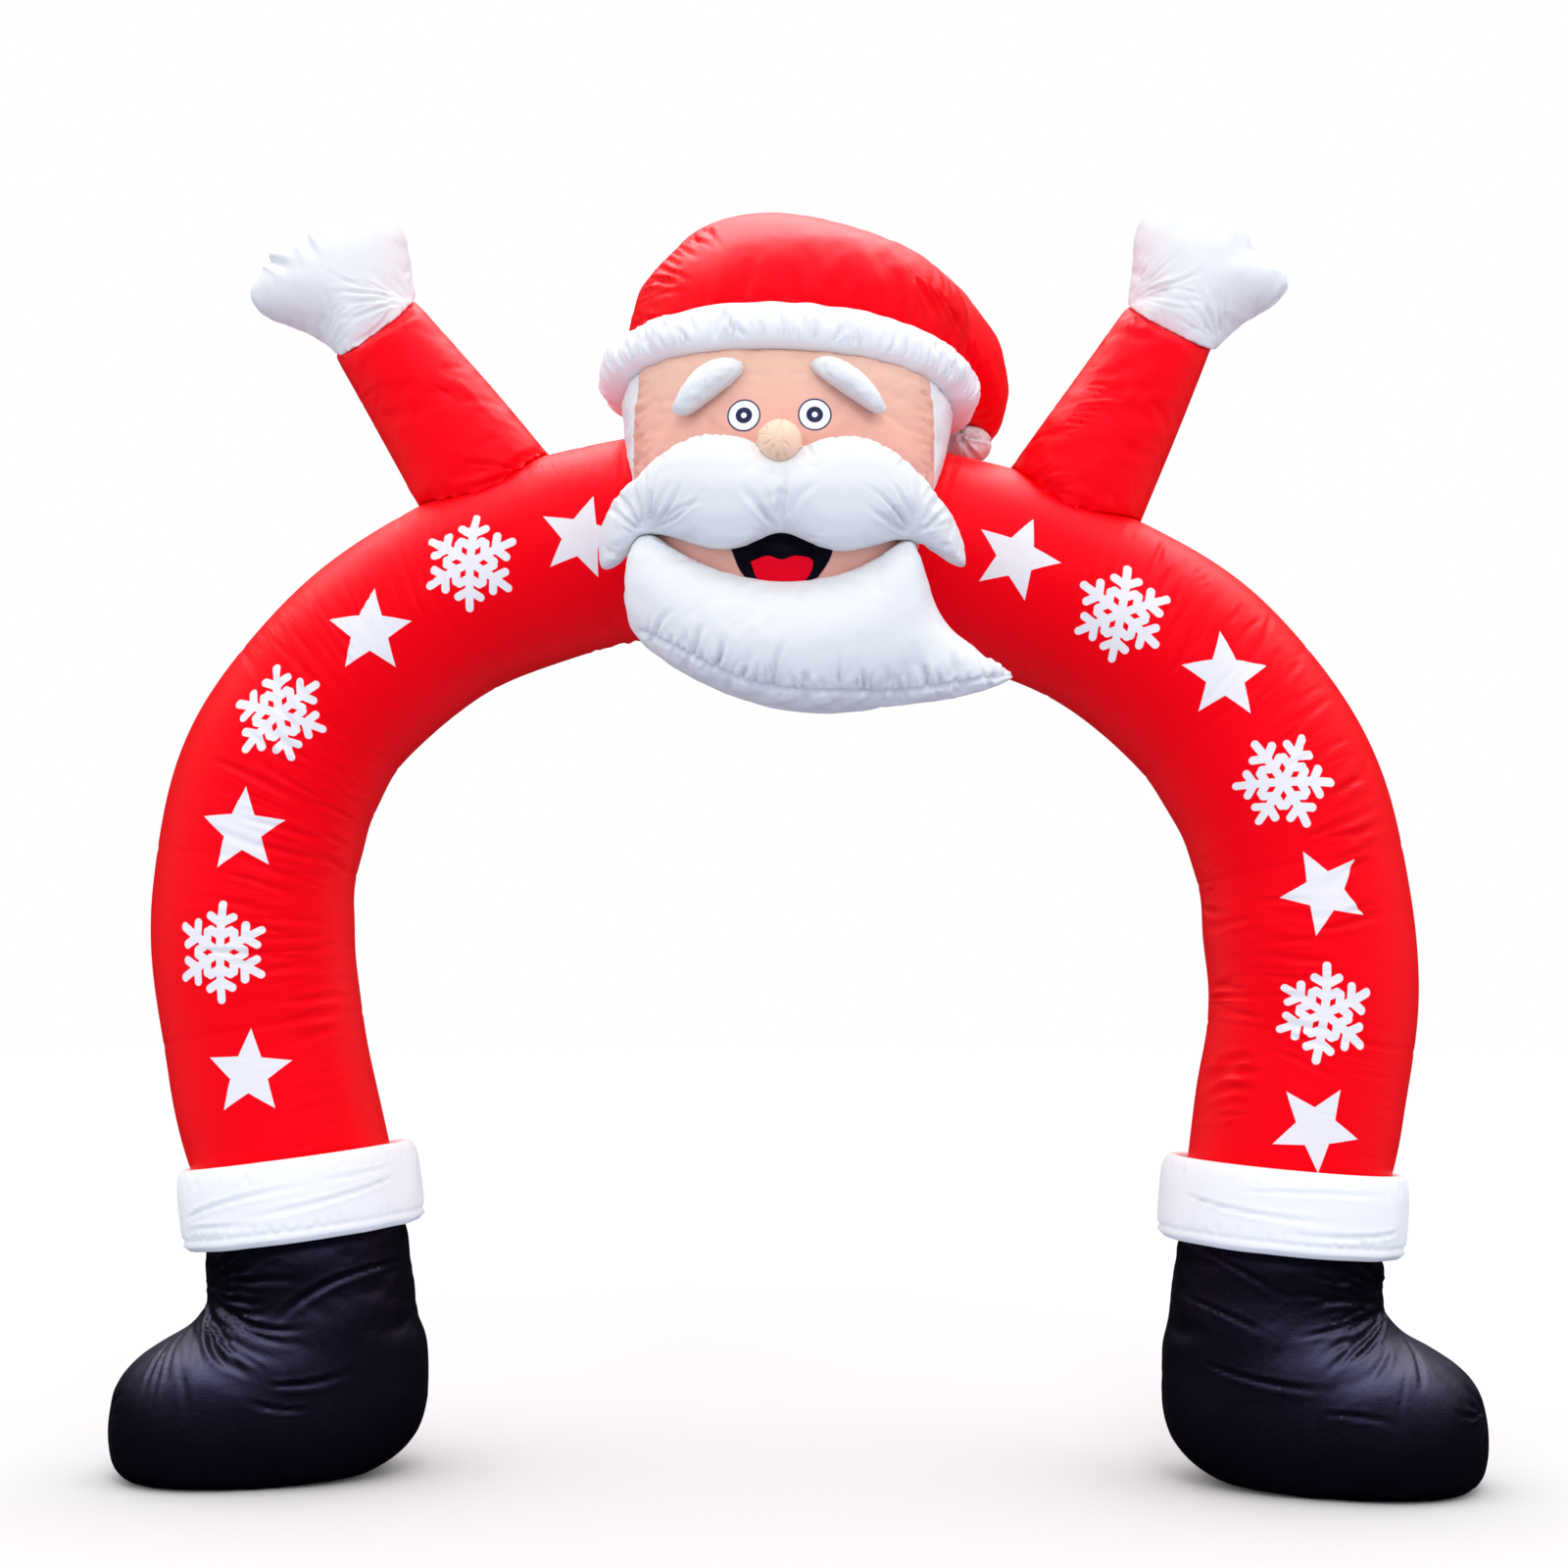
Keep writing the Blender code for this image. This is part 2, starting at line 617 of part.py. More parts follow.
def make_legs(tube):
    """Boots and cuffs, with the tube ending on the boots inside the cuffs."""
    for label, (_, x, z, _) in LEGS.items():
        axis = leg_axis(label)
        middle = Vector((x, 0.0, z))
        boot = make_boot(label)
        make_cuff(label)
        draw_in(boot, middle, axis)
        draw_in(tube, middle, axis)
        slice_off(boot, middle - axis * GAP / 2.0, axis)
        slice_tube_end(tube, middle + axis * GAP / 2.0, axis)


def slice_tube_end(tube, point, axis):
    """Trim one foot of the tube with a plane, leaving the other foot alone."""
    bm = bmesh.new()
    bm.from_mesh(tube.data)
    cut_near(bm, point, axis, clear_inner=True)
    rim = [edge for edge in bm.edges if edge.is_boundary]
    bmesh.ops.contextual_create(bm, geom=rim)
    bmesh.ops.recalc_face_normals(bm, faces=bm.faces)
    bm.to_mesh(tube.data)
    bm.free()


# ---------------------------------------------------------------- arms
def make_arm(label, tube_cutter):
    """A raised sleeve sewn to the tube, and the mitten at its wrist."""
    rows = SLEEVES[label]
    sleeve = swept_tube(f"sleeve_{label}", smooth_rows(rows, SLEEVE_RINGS), SLEEVE_SIDES, "red_nylon")
    combine(sleeve, tube_cutter)
    wrist = Vector((rows[WRIST_ROW][0], 0.0, rows[WRIST_ROW][1]))
    forearm = Vector((rows[WRIST_ROW - 1][0], 0.0, rows[WRIST_ROW - 1][1]))
    axis = (wrist - forearm).normalized()
    facing = (axis - Vector((0.0, WRIST_DIP[label], 0.0))).normalized()
    slice_off(sleeve, wrist - axis * WRIST_SEAM, facing)

    rim = smooth_loop(MITTENS[label], 2)
    centre = np.mean(MITTENS[label], axis=0)

    def build(bm):
        pillow(bm, rim, centre, 0.0, MITTEN_HALF_THICKNESS, MITTEN_TURNS)
    mitten = add_piece(f"mitten_{label}", mesh_from(build), "white_nylon")
    slice_off(mitten, wrist - axis * (WRIST_SEAM - GAP), -facing)


# ---------------------------------------------------------------- head
def make_head():
    """The whole head as one form, before the face is parted from the back."""
    def build(bm):
        rings = []
        for height, half_width, front, back in smooth_rows(HEAD_SECTIONS, HEAD_RINGS):
            rings.append(round_ring((0.0, 0.5 * (front + back), height), (1.0, 0.0, 0.0),
                                    (0.0, 1.0, 0.0), half_width, 0.5 * (back - front),
                                    HEAD_SIDES, HEAD_SQUARENESS))
        loft(bm, rings)
    return add_piece("face", mesh_from(build), "skin_nylon")


def make_hat_band():
    """The white band: a fat ring round the head, higher at the forehead."""
    place = (Matrix.Translation(BAND_CENTRE) @ Matrix.Rotation(math.radians(-BAND_PITCH), 4, "X")
             @ Matrix.Rotation(math.radians(BAND_ROLL), 4, "Y"))

    def build(bm):
        loops = []
        for step in range(BAND_STEPS):
            angle = 2.0 * math.pi * step / BAND_STEPS
            out = Vector((math.cos(angle), math.sin(angle), 0.0))
            core = Vector((out.x * BAND_HALF_WIDTH, out.y * BAND_HALF_DEPTH, 0.0))
            ring = round_ring(core, out, (0.0, 0.0, 1.0), BAND_RADIUS, BAND_RADIUS,
                              BAND_SIDES)
            loops.append([bm.verts.new(place @ point) for point in ring])
        for step in range(BAND_STEPS):
            here, there = loops[step], loops[(step + 1) % BAND_STEPS]
            for i in range(BAND_SIDES):
                j = (i + 1) % BAND_SIDES
                bm.faces.new((here[i], here[j], there[j], there[i]))
    return add_piece("hat_band", mesh_from(build), "white_nylon")


def make_hat_crown():
    """The red crown: a dome, and a tail that hangs over to the right and back."""
    def build_dome(bm):
        rings = []
        for height, x, half_width, half_depth in smooth_rows(HAT_SECTIONS, HAT_RINGS):
            rings.append(round_ring((x, HAT_MIDDLE_Y, height), (1.0, 0.0, 0.0), (0.0, 1.0, 0.0),
                                    half_width, half_depth, HAT_SIDES))
        loft(bm, rings)

    def build_tail(bm):
        rows = smooth_rows(TAIL_SECTIONS, TAIL_RINGS)
        rings = []
        for index, (x, y, z, radius) in enumerate(rows):
            before, after = rows[max(0, index - 1)], rows[min(len(rows) - 1, index + 1)]
            heading = Vector(after[:3] - before[:3]).normalized()
            across = heading.cross(Vector((0.0, 1.0, 0.0))).normalized()
            rings.append(round_ring((x, y, z), across, heading.cross(across), radius, radius,
                                    TAIL_SIDES))
        loft(bm, rings)
    crown = add_piece("hat_crown", mesh_from(build_dome), "red_nylon")
    combine(crown, add_piece("hat_tail", mesh_from(build_tail), None, CUTTERS), "UNION")
    return crown


def make_moustache():
    """Two big lobes joined under the nose."""
    def build(bm):
        rings = []
        for x, upper, lower, middle_y, half_depth in smooth_rows(MOUSTACHE_SECTIONS,
                                                                 MOUSTACHE_STATIONS):
            rings.append(round_ring((x, middle_y, 0.5 * (upper + lower)), (0.0, 1.0, 0.0),
                                    (0.0, 0.0, 1.0), half_depth, 0.5 * (upper - lower),
                                    MOUSTACHE_SIDES))
        loft(bm, rings)
    return add_piece("moustache", mesh_from(build), "white_nylon")


def make_beard():
    """A deep beard that curls to a point, gathered along the seam at its lower front."""
    def build(bm):
        rings = []
        for station, row in enumerate(smooth_rows(BEARD_SECTIONS, BEARD_STATIONS)):
            x, upper, lower, front, back = row
            ring = round_ring((x, 0.5 * (front + back), 0.5 * (upper + lower)), (0.0, -1.0, 0.0),
                              (0.0, 0.0, 1.0), 0.5 * (back - front), 0.5 * (upper - lower),
                              BEARD_SIDES, BEARD_SQUARENESS)
            seam = Vector((x, front + BEARD_SEAM * (back - front), lower))
            tuck = TUCK_DEPTH * min(1.0, (upper - lower) / TUCK_FULL)
            if station % 2 == 0:
                tuck = -tuck
            for point in ring:
                point.z += tuck * max(0.0, 1.0 - (point - seam).length / TUCK_REACH)
            rings.append(ring)
        loft(bm, rings)
    return add_piece("beard", mesh_from(build), "white_nylon")


def make_brow(label, head_cutter):
    """A puffed white eyebrow sewn to the forehead."""
    rim = smooth_loop(BROWS[label], 2)
    centre = np.mean(BROWS[label], axis=0)

    def build(bm):
        pillow(bm, rim, centre, BROW_Y, BROW_HALF_THICKNESS, BROW_TURNS)
    brow = add_piece(f"brow_{label}", mesh_from(build), "white_nylon")
    combine(brow, head_cutter)


def make_patch(name, rim, head, finish, lift):
    """A thin panel sewn flat on the face: a slice of the head's grown skin inside a rim."""
    def build(bm):
        near = [bm.verts.new((x, MOUTH_FRONT, z)) for x, z in rim]
        bm.faces.new(near)
        sweep = bmesh.ops.extrude_face_region(bm, geom=list(bm.faces))
        moved = [item for item in sweep["geom"] if isinstance(item, bmesh.types.BMVert)]
        bmesh.ops.translate(bm, vec=(0.0, MOUTH_BACK - MOUTH_FRONT, 0.0), verts=moved)
    patch = add_piece(name, mesh_from(build), finish)
    combine(patch, grown(head, lift + MOUTH_WALL), "INTERSECT")
    combine(patch, grown(head, lift))
    return patch


def split_head(head):
    """Part the head at its side seams: the skin-coloured front and the white back."""
    back = add_piece("hair", head.data.copy(), "white_nylon")
    slice_off(head, (0.0, FACE_SEAM_Y - GAP / 2.0, 0.0), (0.0, 1.0, 0.0))
    slice_off(back, (0.0, FACE_SEAM_Y + GAP / 2.0, 0.0), (0.0, -1.0, 0.0))


def make_figure_head(tube_cutter):
    """Head, hat and features, each fitted to its neighbours."""
    head = make_head()
    head_cutter = grown(head)
    band = make_hat_band()
    band_cutter = grown(band)
    pompom = ball("pompom", POMPOM_CENTRE, POMPOM_RADII, "white_nylon")
    crown = make_hat_crown()
    for cutter in (band_cutter, head_cutter, grown(pompom)):
        combine(crown, cutter)
    mouth = make_patch("mouth_panel", MOUTH_RIM, head, "black_nylon", GAP)
    tongue = make_patch("tongue", TONGUE_RIM, head, "tongue_nylon", 2.0 * GAP + MOUTH_WALL)
    panel_cutters = (grown(mouth), grown(tongue))
    moustache = make_moustache()
    for cutter in (head_cutter, *panel_cutters):
        combine(moustache, cutter)
    moustache_cutter = grown(moustache)
    beard = make_beard()
    for cutter in (head_cutter, tube_cutter, moustache_cutter, *panel_cutters):
        combine(beard, cutter)
    nose = ball("nose", NOSE_CENTRE, NOSE_RADII, "nose_nylon")
    for cutter in (head_cutter, moustache_cutter):
        combine(nose, cutter)
    for label in BROWS:
        make_brow(label, head_cutter)
    for cutter in (tube_cutter, band_cutter):
        combine(head, cutter)
    split_head(head)


# ---------------------------------------------------------------- assembly
def centre_on_origin():
    """Move the whole arch so that the origin is the middle of its bounding box's floor."""
    corners = np.array([vert.co for piece in ARCH.objects for vert in piece.data.vertices])
    low, high = corners.min(axis=0), corners.max(axis=0)
    shift = Vector((-0.5 * (low[0] + high[0]), -0.5 * (low[1] + high[1]), -low[2]))
    for piece in ARCH.objects:
        piece.data.transform(Matrix.Translation(shift))


def main():
    """Build every piece."""
    tube = make_arch_tube()
    tube_cutter = grown(tube)
    make_legs(tube)
    for label in SLEEVES:
        make_arm(label, tube_cutter)
    make_figure_head(tube_cutter)
    centre_on_origin()


main()
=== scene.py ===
"""Looks of the inflatable arch: blown-up nylon pieces, printed decorations, floor, light and camera.

Metres, +Z up, the front faces -Y. The arch's centre line lies in the plane y = ARCH_Y. Each piece
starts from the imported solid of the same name, from its own round sizes where the solid is a plain
tube or ring, or from its outline on the face. Creases are given as seen from the front, as x and z.
"""

from __future__ import annotations

import json
import logging
import math
from collections.abc import Callable, Iterable, Iterator
from contextlib import contextmanager
from dataclasses import dataclass, field
from enum import Enum

import bmesh
import bpy
import numpy as np
from mathutils import Matrix, Vector
from mathutils.bvhtree import BVHTree

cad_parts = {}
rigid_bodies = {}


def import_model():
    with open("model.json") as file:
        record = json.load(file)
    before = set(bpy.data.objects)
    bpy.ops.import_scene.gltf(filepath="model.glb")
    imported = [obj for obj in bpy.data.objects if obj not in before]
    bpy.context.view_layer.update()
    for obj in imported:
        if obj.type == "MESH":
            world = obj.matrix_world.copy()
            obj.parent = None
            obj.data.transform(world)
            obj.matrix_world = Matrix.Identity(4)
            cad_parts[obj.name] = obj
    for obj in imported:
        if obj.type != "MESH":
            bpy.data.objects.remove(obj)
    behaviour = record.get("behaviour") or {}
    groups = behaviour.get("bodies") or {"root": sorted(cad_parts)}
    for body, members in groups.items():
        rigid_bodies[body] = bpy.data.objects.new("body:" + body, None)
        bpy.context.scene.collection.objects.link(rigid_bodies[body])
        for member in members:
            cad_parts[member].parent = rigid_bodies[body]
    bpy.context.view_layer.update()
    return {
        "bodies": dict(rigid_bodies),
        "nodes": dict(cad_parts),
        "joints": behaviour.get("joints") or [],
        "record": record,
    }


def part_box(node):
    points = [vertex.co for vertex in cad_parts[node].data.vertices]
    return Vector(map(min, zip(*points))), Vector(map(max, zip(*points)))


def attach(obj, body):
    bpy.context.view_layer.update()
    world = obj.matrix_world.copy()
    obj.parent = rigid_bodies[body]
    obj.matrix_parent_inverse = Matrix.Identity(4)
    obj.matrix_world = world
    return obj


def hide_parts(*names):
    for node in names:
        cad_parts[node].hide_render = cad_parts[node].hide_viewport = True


LOG = logging.getLogger("inflatable_arch")
BODY = "root"
ARCH_Y = 0.1864             # plane of the tube's centre line
MERGE = 0.00002             # points closer than this are one
FRAME: dict = {}

Colour = tuple[float, float, float]
Point2 = tuple[float, float]
Point3 = tuple[float, float, float]
Array = np.ndarray


# ---------------------------------------------------------------- cloth finishes
class Nodes:
    """A small helper that adds and links the nodes of one material or of the surroundings."""

    def __init__(self, owner: bpy.types.Material | bpy.types.World) -> None:
        """Take over an empty material or world.

        Args:
            owner: the material or world whose nodes are built.
        """
        owner.use_nodes = True
        self.tree = owner.node_tree
        name = "Background" if isinstance(owner, bpy.types.World) else "Principled BSDF"
        self.shader = self.tree.nodes[name]

    def add(self, kind: str, **settings: object) -> bpy.types.Node:
        """Add a node and set its own properties.

        Args:
            kind: the node's class name without its ShaderNode prefix.
            settings: properties of the node, such as an operation.

        Returns:
            The new node.
        """
        node = self.tree.nodes.new(f"ShaderNode{kind}")
        for name, value in settings.items():
            setattr(node, name, value)
        return node

    def link(self, source: object, target: object) -> None:
        """Link an output socket to an input socket."""
        self.tree.links.new(source, target)

    def feed(self, socket: bpy.types.NodeSocket, value: object) -> None:
        """Set an input socket to a number or link a node's output to it.

        Args:
            socket: the input.
            value: a number, a colour or an output socket.
        """
        if isinstance(value, bpy.types.NodeSocket):
            self.link(value, socket)
        else:
            socket.default_value = value

    def math(self, operation: str, *values: object) -> bpy.types.NodeSocket:
        """Add a Math node.

        Args:
            operation: its operation, such as ADD.
            values: its inputs, as numbers or sockets.

        Returns:
            Its output.
        """
        node = self.add("Math", operation=operation)
        for socket, value in zip(node.inputs, values):
            self.feed(socket, value)
        return node.outputs[0]

    def mix(self, share: object, first: object, second: object) -> bpy.types.NodeSocket:
        """Mix two colours.

        Args:
            share: how much of the second colour shows, from 0 to 1.
            first: the colour at 0.
            second: the colour at 1.

        Returns:
            The mixed colour.
        """
        node = self.add("Mix", data_type="RGBA")
        self.feed(node.inputs["Factor"], share)
        self.feed(node.inputs["A"], opaque(first))
        self.feed(node.inputs["B"], opaque(second))
        return node.outputs["Result"]

    def rise(self, height: object, places: Point2, values: Point2) -> bpy.types.NodeSocket:
        """Add a value that changes smoothly between two heights.

        Args:
            height: the socket that holds the height.
            places: the height where the change starts and the one where it ends.
            values: the values there.

        Returns:
            The changing value.
        """
        node = self.add("MapRange", interpolation_type="SMOOTHSTEP")
        self.link(height, node.inputs["Value"])
        for name, value in zip(("From Min", "From Max", "To Min", "To Max"), (*places, *values)):
            node.inputs[name].default_value = value
        return node.outputs["Result"]

    def split(self, vector: object) -> bpy.types.bpy_prop_collection:
        """Split a vector.

        Args:
            vector: the socket that holds it.

        Returns:
            The outputs that hold its x, y and z.
        """
        node = self.add("SeparateXYZ")
        self.link(vector, node.inputs[0])
        return node.outputs

    def clamp(self, value: object) -> bpy.types.NodeSocket:
        """Keep a value between 0 and 1.

        Args:
            value: the socket that holds it.

        Returns:
            The kept value.
        """
        node = self.add("Clamp")
        self.link(value, node.inputs["Value"])
        return node.outputs[0]

    def length(self, x: object, y: object) -> bpy.types.NodeSocket:
        """Work out how long the way to a place is along two sides."""
        return self.math("SQRT", self.math("ADD", self.math("MULTIPLY", x, x),
                                           self.math("MULTIPLY", y, y)))

    def bump(self, height: object, depth: float, normal: object = None) -> bpy.types.NodeSocket:
        """Bump the surface.

        Args:
            height: the socket that holds the pattern.
            depth: how deep the pattern is, in metres.
            normal: the normal so far, if it has been bumped before.

        Returns:
            The bumped normal.
        """
        node = self.add("Bump")
        node.inputs["Strength"].default_value = 1.0
        node.inputs["Distance"].default_value = depth
        self.link(height, node.inputs["Height"])
        if normal is not None:
            self.link(normal, node.inputs["Normal"])
        return node.outputs["Normal"]


def opaque(colour: object) -> object:
    """Give a plain colour its alpha and leave a socket as it is."""
    return (*colour, 1.0) if isinstance(colour, tuple) else colour


@dataclass(frozen=True)
class Nylon:
    """Thin coated nylon: a dyed colour with faint mottling, a fine weave and small crinkles."""

    slot: str
    colour: Colour
    mottle: Colour
    roughness: float
    specular: float = 0.5
    specular_tint: Colour = (1.0, 1.0, 1.0)
    mottle_size: float = 0.30
    weave_pitch: float = 0.0018
    weave_depth: float = 0.00004
    crinkle_size: float = 0.045
    crinkle_depth: float = 0.0009
    ripple_size: float = 0.026
    ripple_length: float = 0.170
    ripple_depth: float = 0.0050

    NOISE_ROUGHNESS = 0.55
    PATCH_SIZE = 0.42       # of the patches in which a tube's fine wrinkles show
    PATCH_START = 0.46      # value of the patches' noise where the wrinkles start
    PATCH_RISE = 7.0        # and how fast they grow above it

    def material(self, name: str, paint: Callable[[Nodes, object], object] | None = None,
                 cloth_map: str = "") -> bpy.types.Material:
        """Build the cloth's material.

        Args:
            name: the material's name.
            paint: adds a printed pattern, given the nodes and the cloth's colour.
            cloth_map: name of a UV map in metres along and across a tube, for fine wrinkles
                across it.

        Returns:
            The material.
        """
        material = bpy.data.materials.new(name)
        nodes = Nodes(material)
        place = nodes.add("TexCoord").outputs["Object"]
        colour = nodes.mix(self._noise(nodes, place, self.mottle_size, 2.0), self.colour,
                           self.mottle)
        if paint:
            colour = paint(nodes, colour)
        nodes.link(colour, nodes.shader.inputs["Base Color"])
        normal = self._surface(nodes, place)
        if cloth_map:
            normal = self._ripples(nodes, cloth_map, normal)
        nodes.link(normal, nodes.shader.inputs["Normal"])
        nodes.shader.inputs["Roughness"].default_value = self.roughness
        nodes.shader.inputs["Specular IOR Level"].default_value = self.specular
        nodes.shader.inputs["Specular Tint"].default_value = opaque(self.specular_tint)
        material.diffuse_color = opaque(self.colour)
        return material

    def _noise(self, nodes: Nodes, place: object, size: float, detail: float
               ) -> bpy.types.NodeSocket:
        """Add a soft noise.

        Args:
            nodes: the material's nodes.
            place: the coordinates that the noise reads.
            size: how large its blotches are.
            detail: how many finer layers it has.

        Returns:
            The noise, from 0 to 1.
        """
        noise = nodes.add("TexNoise")
        nodes.link(place, noise.inputs["Vector"])
        noise.inputs["Scale"].default_value = 1.0 / size
        noise.inputs["Detail"].default_value = detail
        noise.inputs["Roughness"].default_value = self.NOISE_ROUGHNESS
        return noise.outputs["Fac"]

    def _surface(self, nodes: Nodes, place: object) -> bpy.types.NodeSocket:
        """The bump of the crinkles and of the weave.

        Args:
            nodes: the material's nodes.
            place: the coordinates that the pattern reads.

        Returns:
            The bumped normal.
        """
        turn = 2.0 * math.pi / self.weave_pitch
        waves = [nodes.math("SINE", nodes.math("MULTIPLY", axis, turn)) for axis in nodes.split(place)]
        weave = nodes.math("ADD", nodes.math("ADD", waves[0], waves[1]), waves[2])
        crinkle = self._noise(nodes, place, self.crinkle_size, 3.0)
        return nodes.bump(crinkle, self.crinkle_depth, nodes.bump(weave, self.weave_depth))

    def _ripples(self, nodes: Nodes, cloth_map: str, normal: object) -> bpy.types.NodeSocket:
        """Fine wrinkles that run across a tube, in patches.

        Args:
            nodes: the material's nodes.
            cloth_map: the UV map in metres along and across the tube.
            normal: the normal so far.

        Returns:
            The wrinkled normal.
        """
        place = nodes.add("UVMap", uv_map=cloth_map).outputs["UV"]
        stretch = nodes.add("Mapping")
        nodes.link(place, stretch.inputs["Vector"])
        stretch.inputs["Scale"].default_value = (1.0, self.ripple_size / self.ripple_length, 1.0)
        wrinkle = self._noise(nodes, stretch.outputs[0], self.ripple_size, 2.0)
        patch = self._noise(nodes, place, self.PATCH_SIZE, 1.0)
        above = nodes.math("SUBTRACT", patch, self.PATCH_START)
        share = nodes.clamp(nodes.math("MULTIPLY", above, self.PATCH_RISE))
        return nodes.bump(nodes.math("MULTIPLY", wrinkle, share), self.ripple_depth, normal)


RED = Nylon("red_nylon", (0.97, 0.0004, 0.007), (0.89, 0.0003, 0.003), 0.36, specular=0.13,
            specular_tint=(1.0, 0.28, 0.58))
WHITE = Nylon("white_nylon", (0.78, 0.80, 0.82), (0.75, 0.775, 0.81), 0.50, specular=0.15,
              crinkle_depth=0.0013)
# painted light: a lighter copy of the same white nylon for the cuffs and the hat's band, standing in
# for the extra light that falls on them
PAINTED_LIT_WHITE = Nylon("white_nylon", (0.90, 0.915, 0.94), (0.87, 0.89, 0.93), 0.50, specular=0.15,
                     crinkle_depth=0.0016)
BLACK = Nylon("black_nylon", (0.0012, 0.0009, 0.0026), (0.0030, 0.0026, 0.0060), 0.46,
              specular=0.36, specular_tint=(0.52, 0.50, 1.0), crinkle_size=0.036,
              crinkle_depth=0.0015)
SKIN = Nylon("skin_nylon", (0.80, 0.51, 0.405), (0.79, 0.48, 0.37), 0.50, specular=0.15)
NOSE = Nylon("nose_nylon", (0.93, 0.66, 0.50), (0.90, 0.60, 0.44), 0.50, specular=0.18)
TONGUE = Nylon("tongue_nylon", (0.84, 0.002, 0.02), (0.74, 0.002, 0.012), 0.45, specular=0.13,
               specular_tint=(1.0, 0.22, 0.36))


# ---------------------------------------------------------------- mesh helpers
@contextmanager
def edited(mesh: bpy.types.Mesh) -> Iterator[bmesh.types.BMesh]:
    """Open a mesh for bmesh operators and write it back afterwards.

    Args:
        mesh: the mesh.

    Yields:
        Its bmesh.
    """
    bm = bmesh.new()
    bm.from_mesh(mesh)
    yield bm
    bm.to_mesh(mesh)
    bm.free()


def read_rows(items: bpy.types.bpy_prop_collection, name: str, width: int, kind: type) -> Array:
    """Read one property of a mesh's items.

    Args:
        items: the mesh's points, normals or edges.
        name: the property's name.
        width: how many numbers it has.
        kind: the kind of number that it is stored as.

    Returns:
        An array with a row for each item.
    """
    flat = np.empty(len(items) * width, kind)
    items.foreach_get(name, flat)
    return flat.reshape(-1, width)


def read_points(mesh: bpy.types.Mesh) -> Array:
    """Read a mesh's points as an N x 3 array."""
    return read_rows(mesh.vertices, "co", 3, np.float32).astype(float)


def write_points(mesh: bpy.types.Mesh, points: Array) -> None:
    """Write an N x 3 array back as a mesh's points."""
    mesh.vertices.foreach_set("co", points.astype(np.float32).ravel())
    mesh.update()


def read_normals(mesh: bpy.types.Mesh) -> Array:
    """Read a mesh's point normals as an N x 3 array."""
    return read_rows(mesh.vertex_normals, "vector", 3, np.float32).astype(float)


def read_edges(mesh: bpy.types.Mesh) -> Array:
    """Read a mesh's edges as an N x 2 array of point numbers."""
    return read_rows(mesh.edges, "vertices", 2, np.int32)


def spread(values: Array, edges: Array, passes: int) -> Array:
    """Average each point's values with its neighbours' again and again.

    Args:
        values: one row for each point.
        edges: pairs of neighbouring points.
        passes: how many times to average.

    Returns:
        The averaged values.
    """
    count = len(values)
    ends = np.concatenate((edges[:, 0], edges[:, 1]))
    others = np.concatenate((edges[:, 1], edges[:, 0]))
    shared = np.maximum(np.bincount(ends, minlength=count), 1)
    result = values.copy()
    for _ in range(passes):
        for column in range(values.shape[1]):
            total = np.bincount(ends, weights=result[others, column], minlength=count)
            result[:, column] = 0.5 * result[:, column] + 0.5 * total / shared
    return result


def relaxed(points: Array, edges: Array, passes: int, outwards: float = 1.04) -> Array:
    """Smooth a surface without shrinking it, by turns inwards and outwards.

    Args:
        points: the surface's points.
        edges: pairs of neighbouring points.
        passes: how many times to do both.
        outwards: how far each turn outwards goes, as a share of the one inwards.

    Returns:
        The smoothed points.
    """
    for _ in range(passes):
        softer = spread(points, edges, 1)
        points = softer - outwards * (spread(softer, edges, 1) - softer)
    return points


def ramp(low: float, high: float, values: Array) -> Array:
    """Rise smoothly from 0 at `low` to 1 at `high`."""
    share = np.clip((values - low) / (high - low), 0.0, 1.0)
    return share * share * (3.0 - 2.0 * share)


def smooth_path(rows: Iterable[tuple[float, ...]], count: int) -> Array:
    """Read even rows from a smooth curve that passes through a table's rows.

    Args:
        rows: the table.
        count: how many rows to read.

    Returns:
        The rows as an array.
    """
    table = np.array(rows, dtype=float)
    padded = np.vstack((2.0 * table[0] - table[1], table, 2.0 * table[-1] - table[-2]))
    places = np.linspace(0.0, len(table) - 1.0, count)
    index = np.minimum(places.astype(int), len(table) - 2)
    t = (places - index)[:, None]
    a, b, c, d = (padded[index + step] for step in range(4))
    return 0.5 * (2.0 * b + (c - a) * t + (2.0 * a - 5.0 * b + 4.0 * c - d) * t ** 2
                  + (3.0 * b - a - 3.0 * c + d) * t ** 3)


def bake(piece: bpy.types.Object) -> None:
    """Apply a piece's modifiers to its mesh.

    Args:
        piece: the piece.
    """
    bpy.context.view_layer.update()
    evaluated = piece.evaluated_get(bpy.context.evaluated_depsgraph_get())
    mesh = bpy.data.meshes.new_from_object(evaluated)
    piece.modifiers.clear()
    piece.data = mesh


def new_piece(name: str, mesh: bpy.types.Mesh) -> bpy.types.Object:
    """Link a mesh to the scene as a piece that rides on the arch's one body.

    Args:
        name: the piece's name.
        mesh: its mesh.

    Returns:
        The piece.
    """
    piece = bpy.data.objects.new(name, mesh)
    bpy.context.scene.collection.objects.link(piece)
    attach(piece, BODY)
    return piece


def merged_copy(node: str) -> bpy.types.Mesh:
    """Copy a node's mesh and join its loose triangles.

    Args:
        node: the node's name.

    Returns:
        The joined mesh.
    """
    mesh = FRAME["nodes"][node].data.copy()
    with edited(mesh) as bm:
        bmesh.ops.remove_doubles(bm, verts=bm.verts, dist=MERGE)
    return mesh


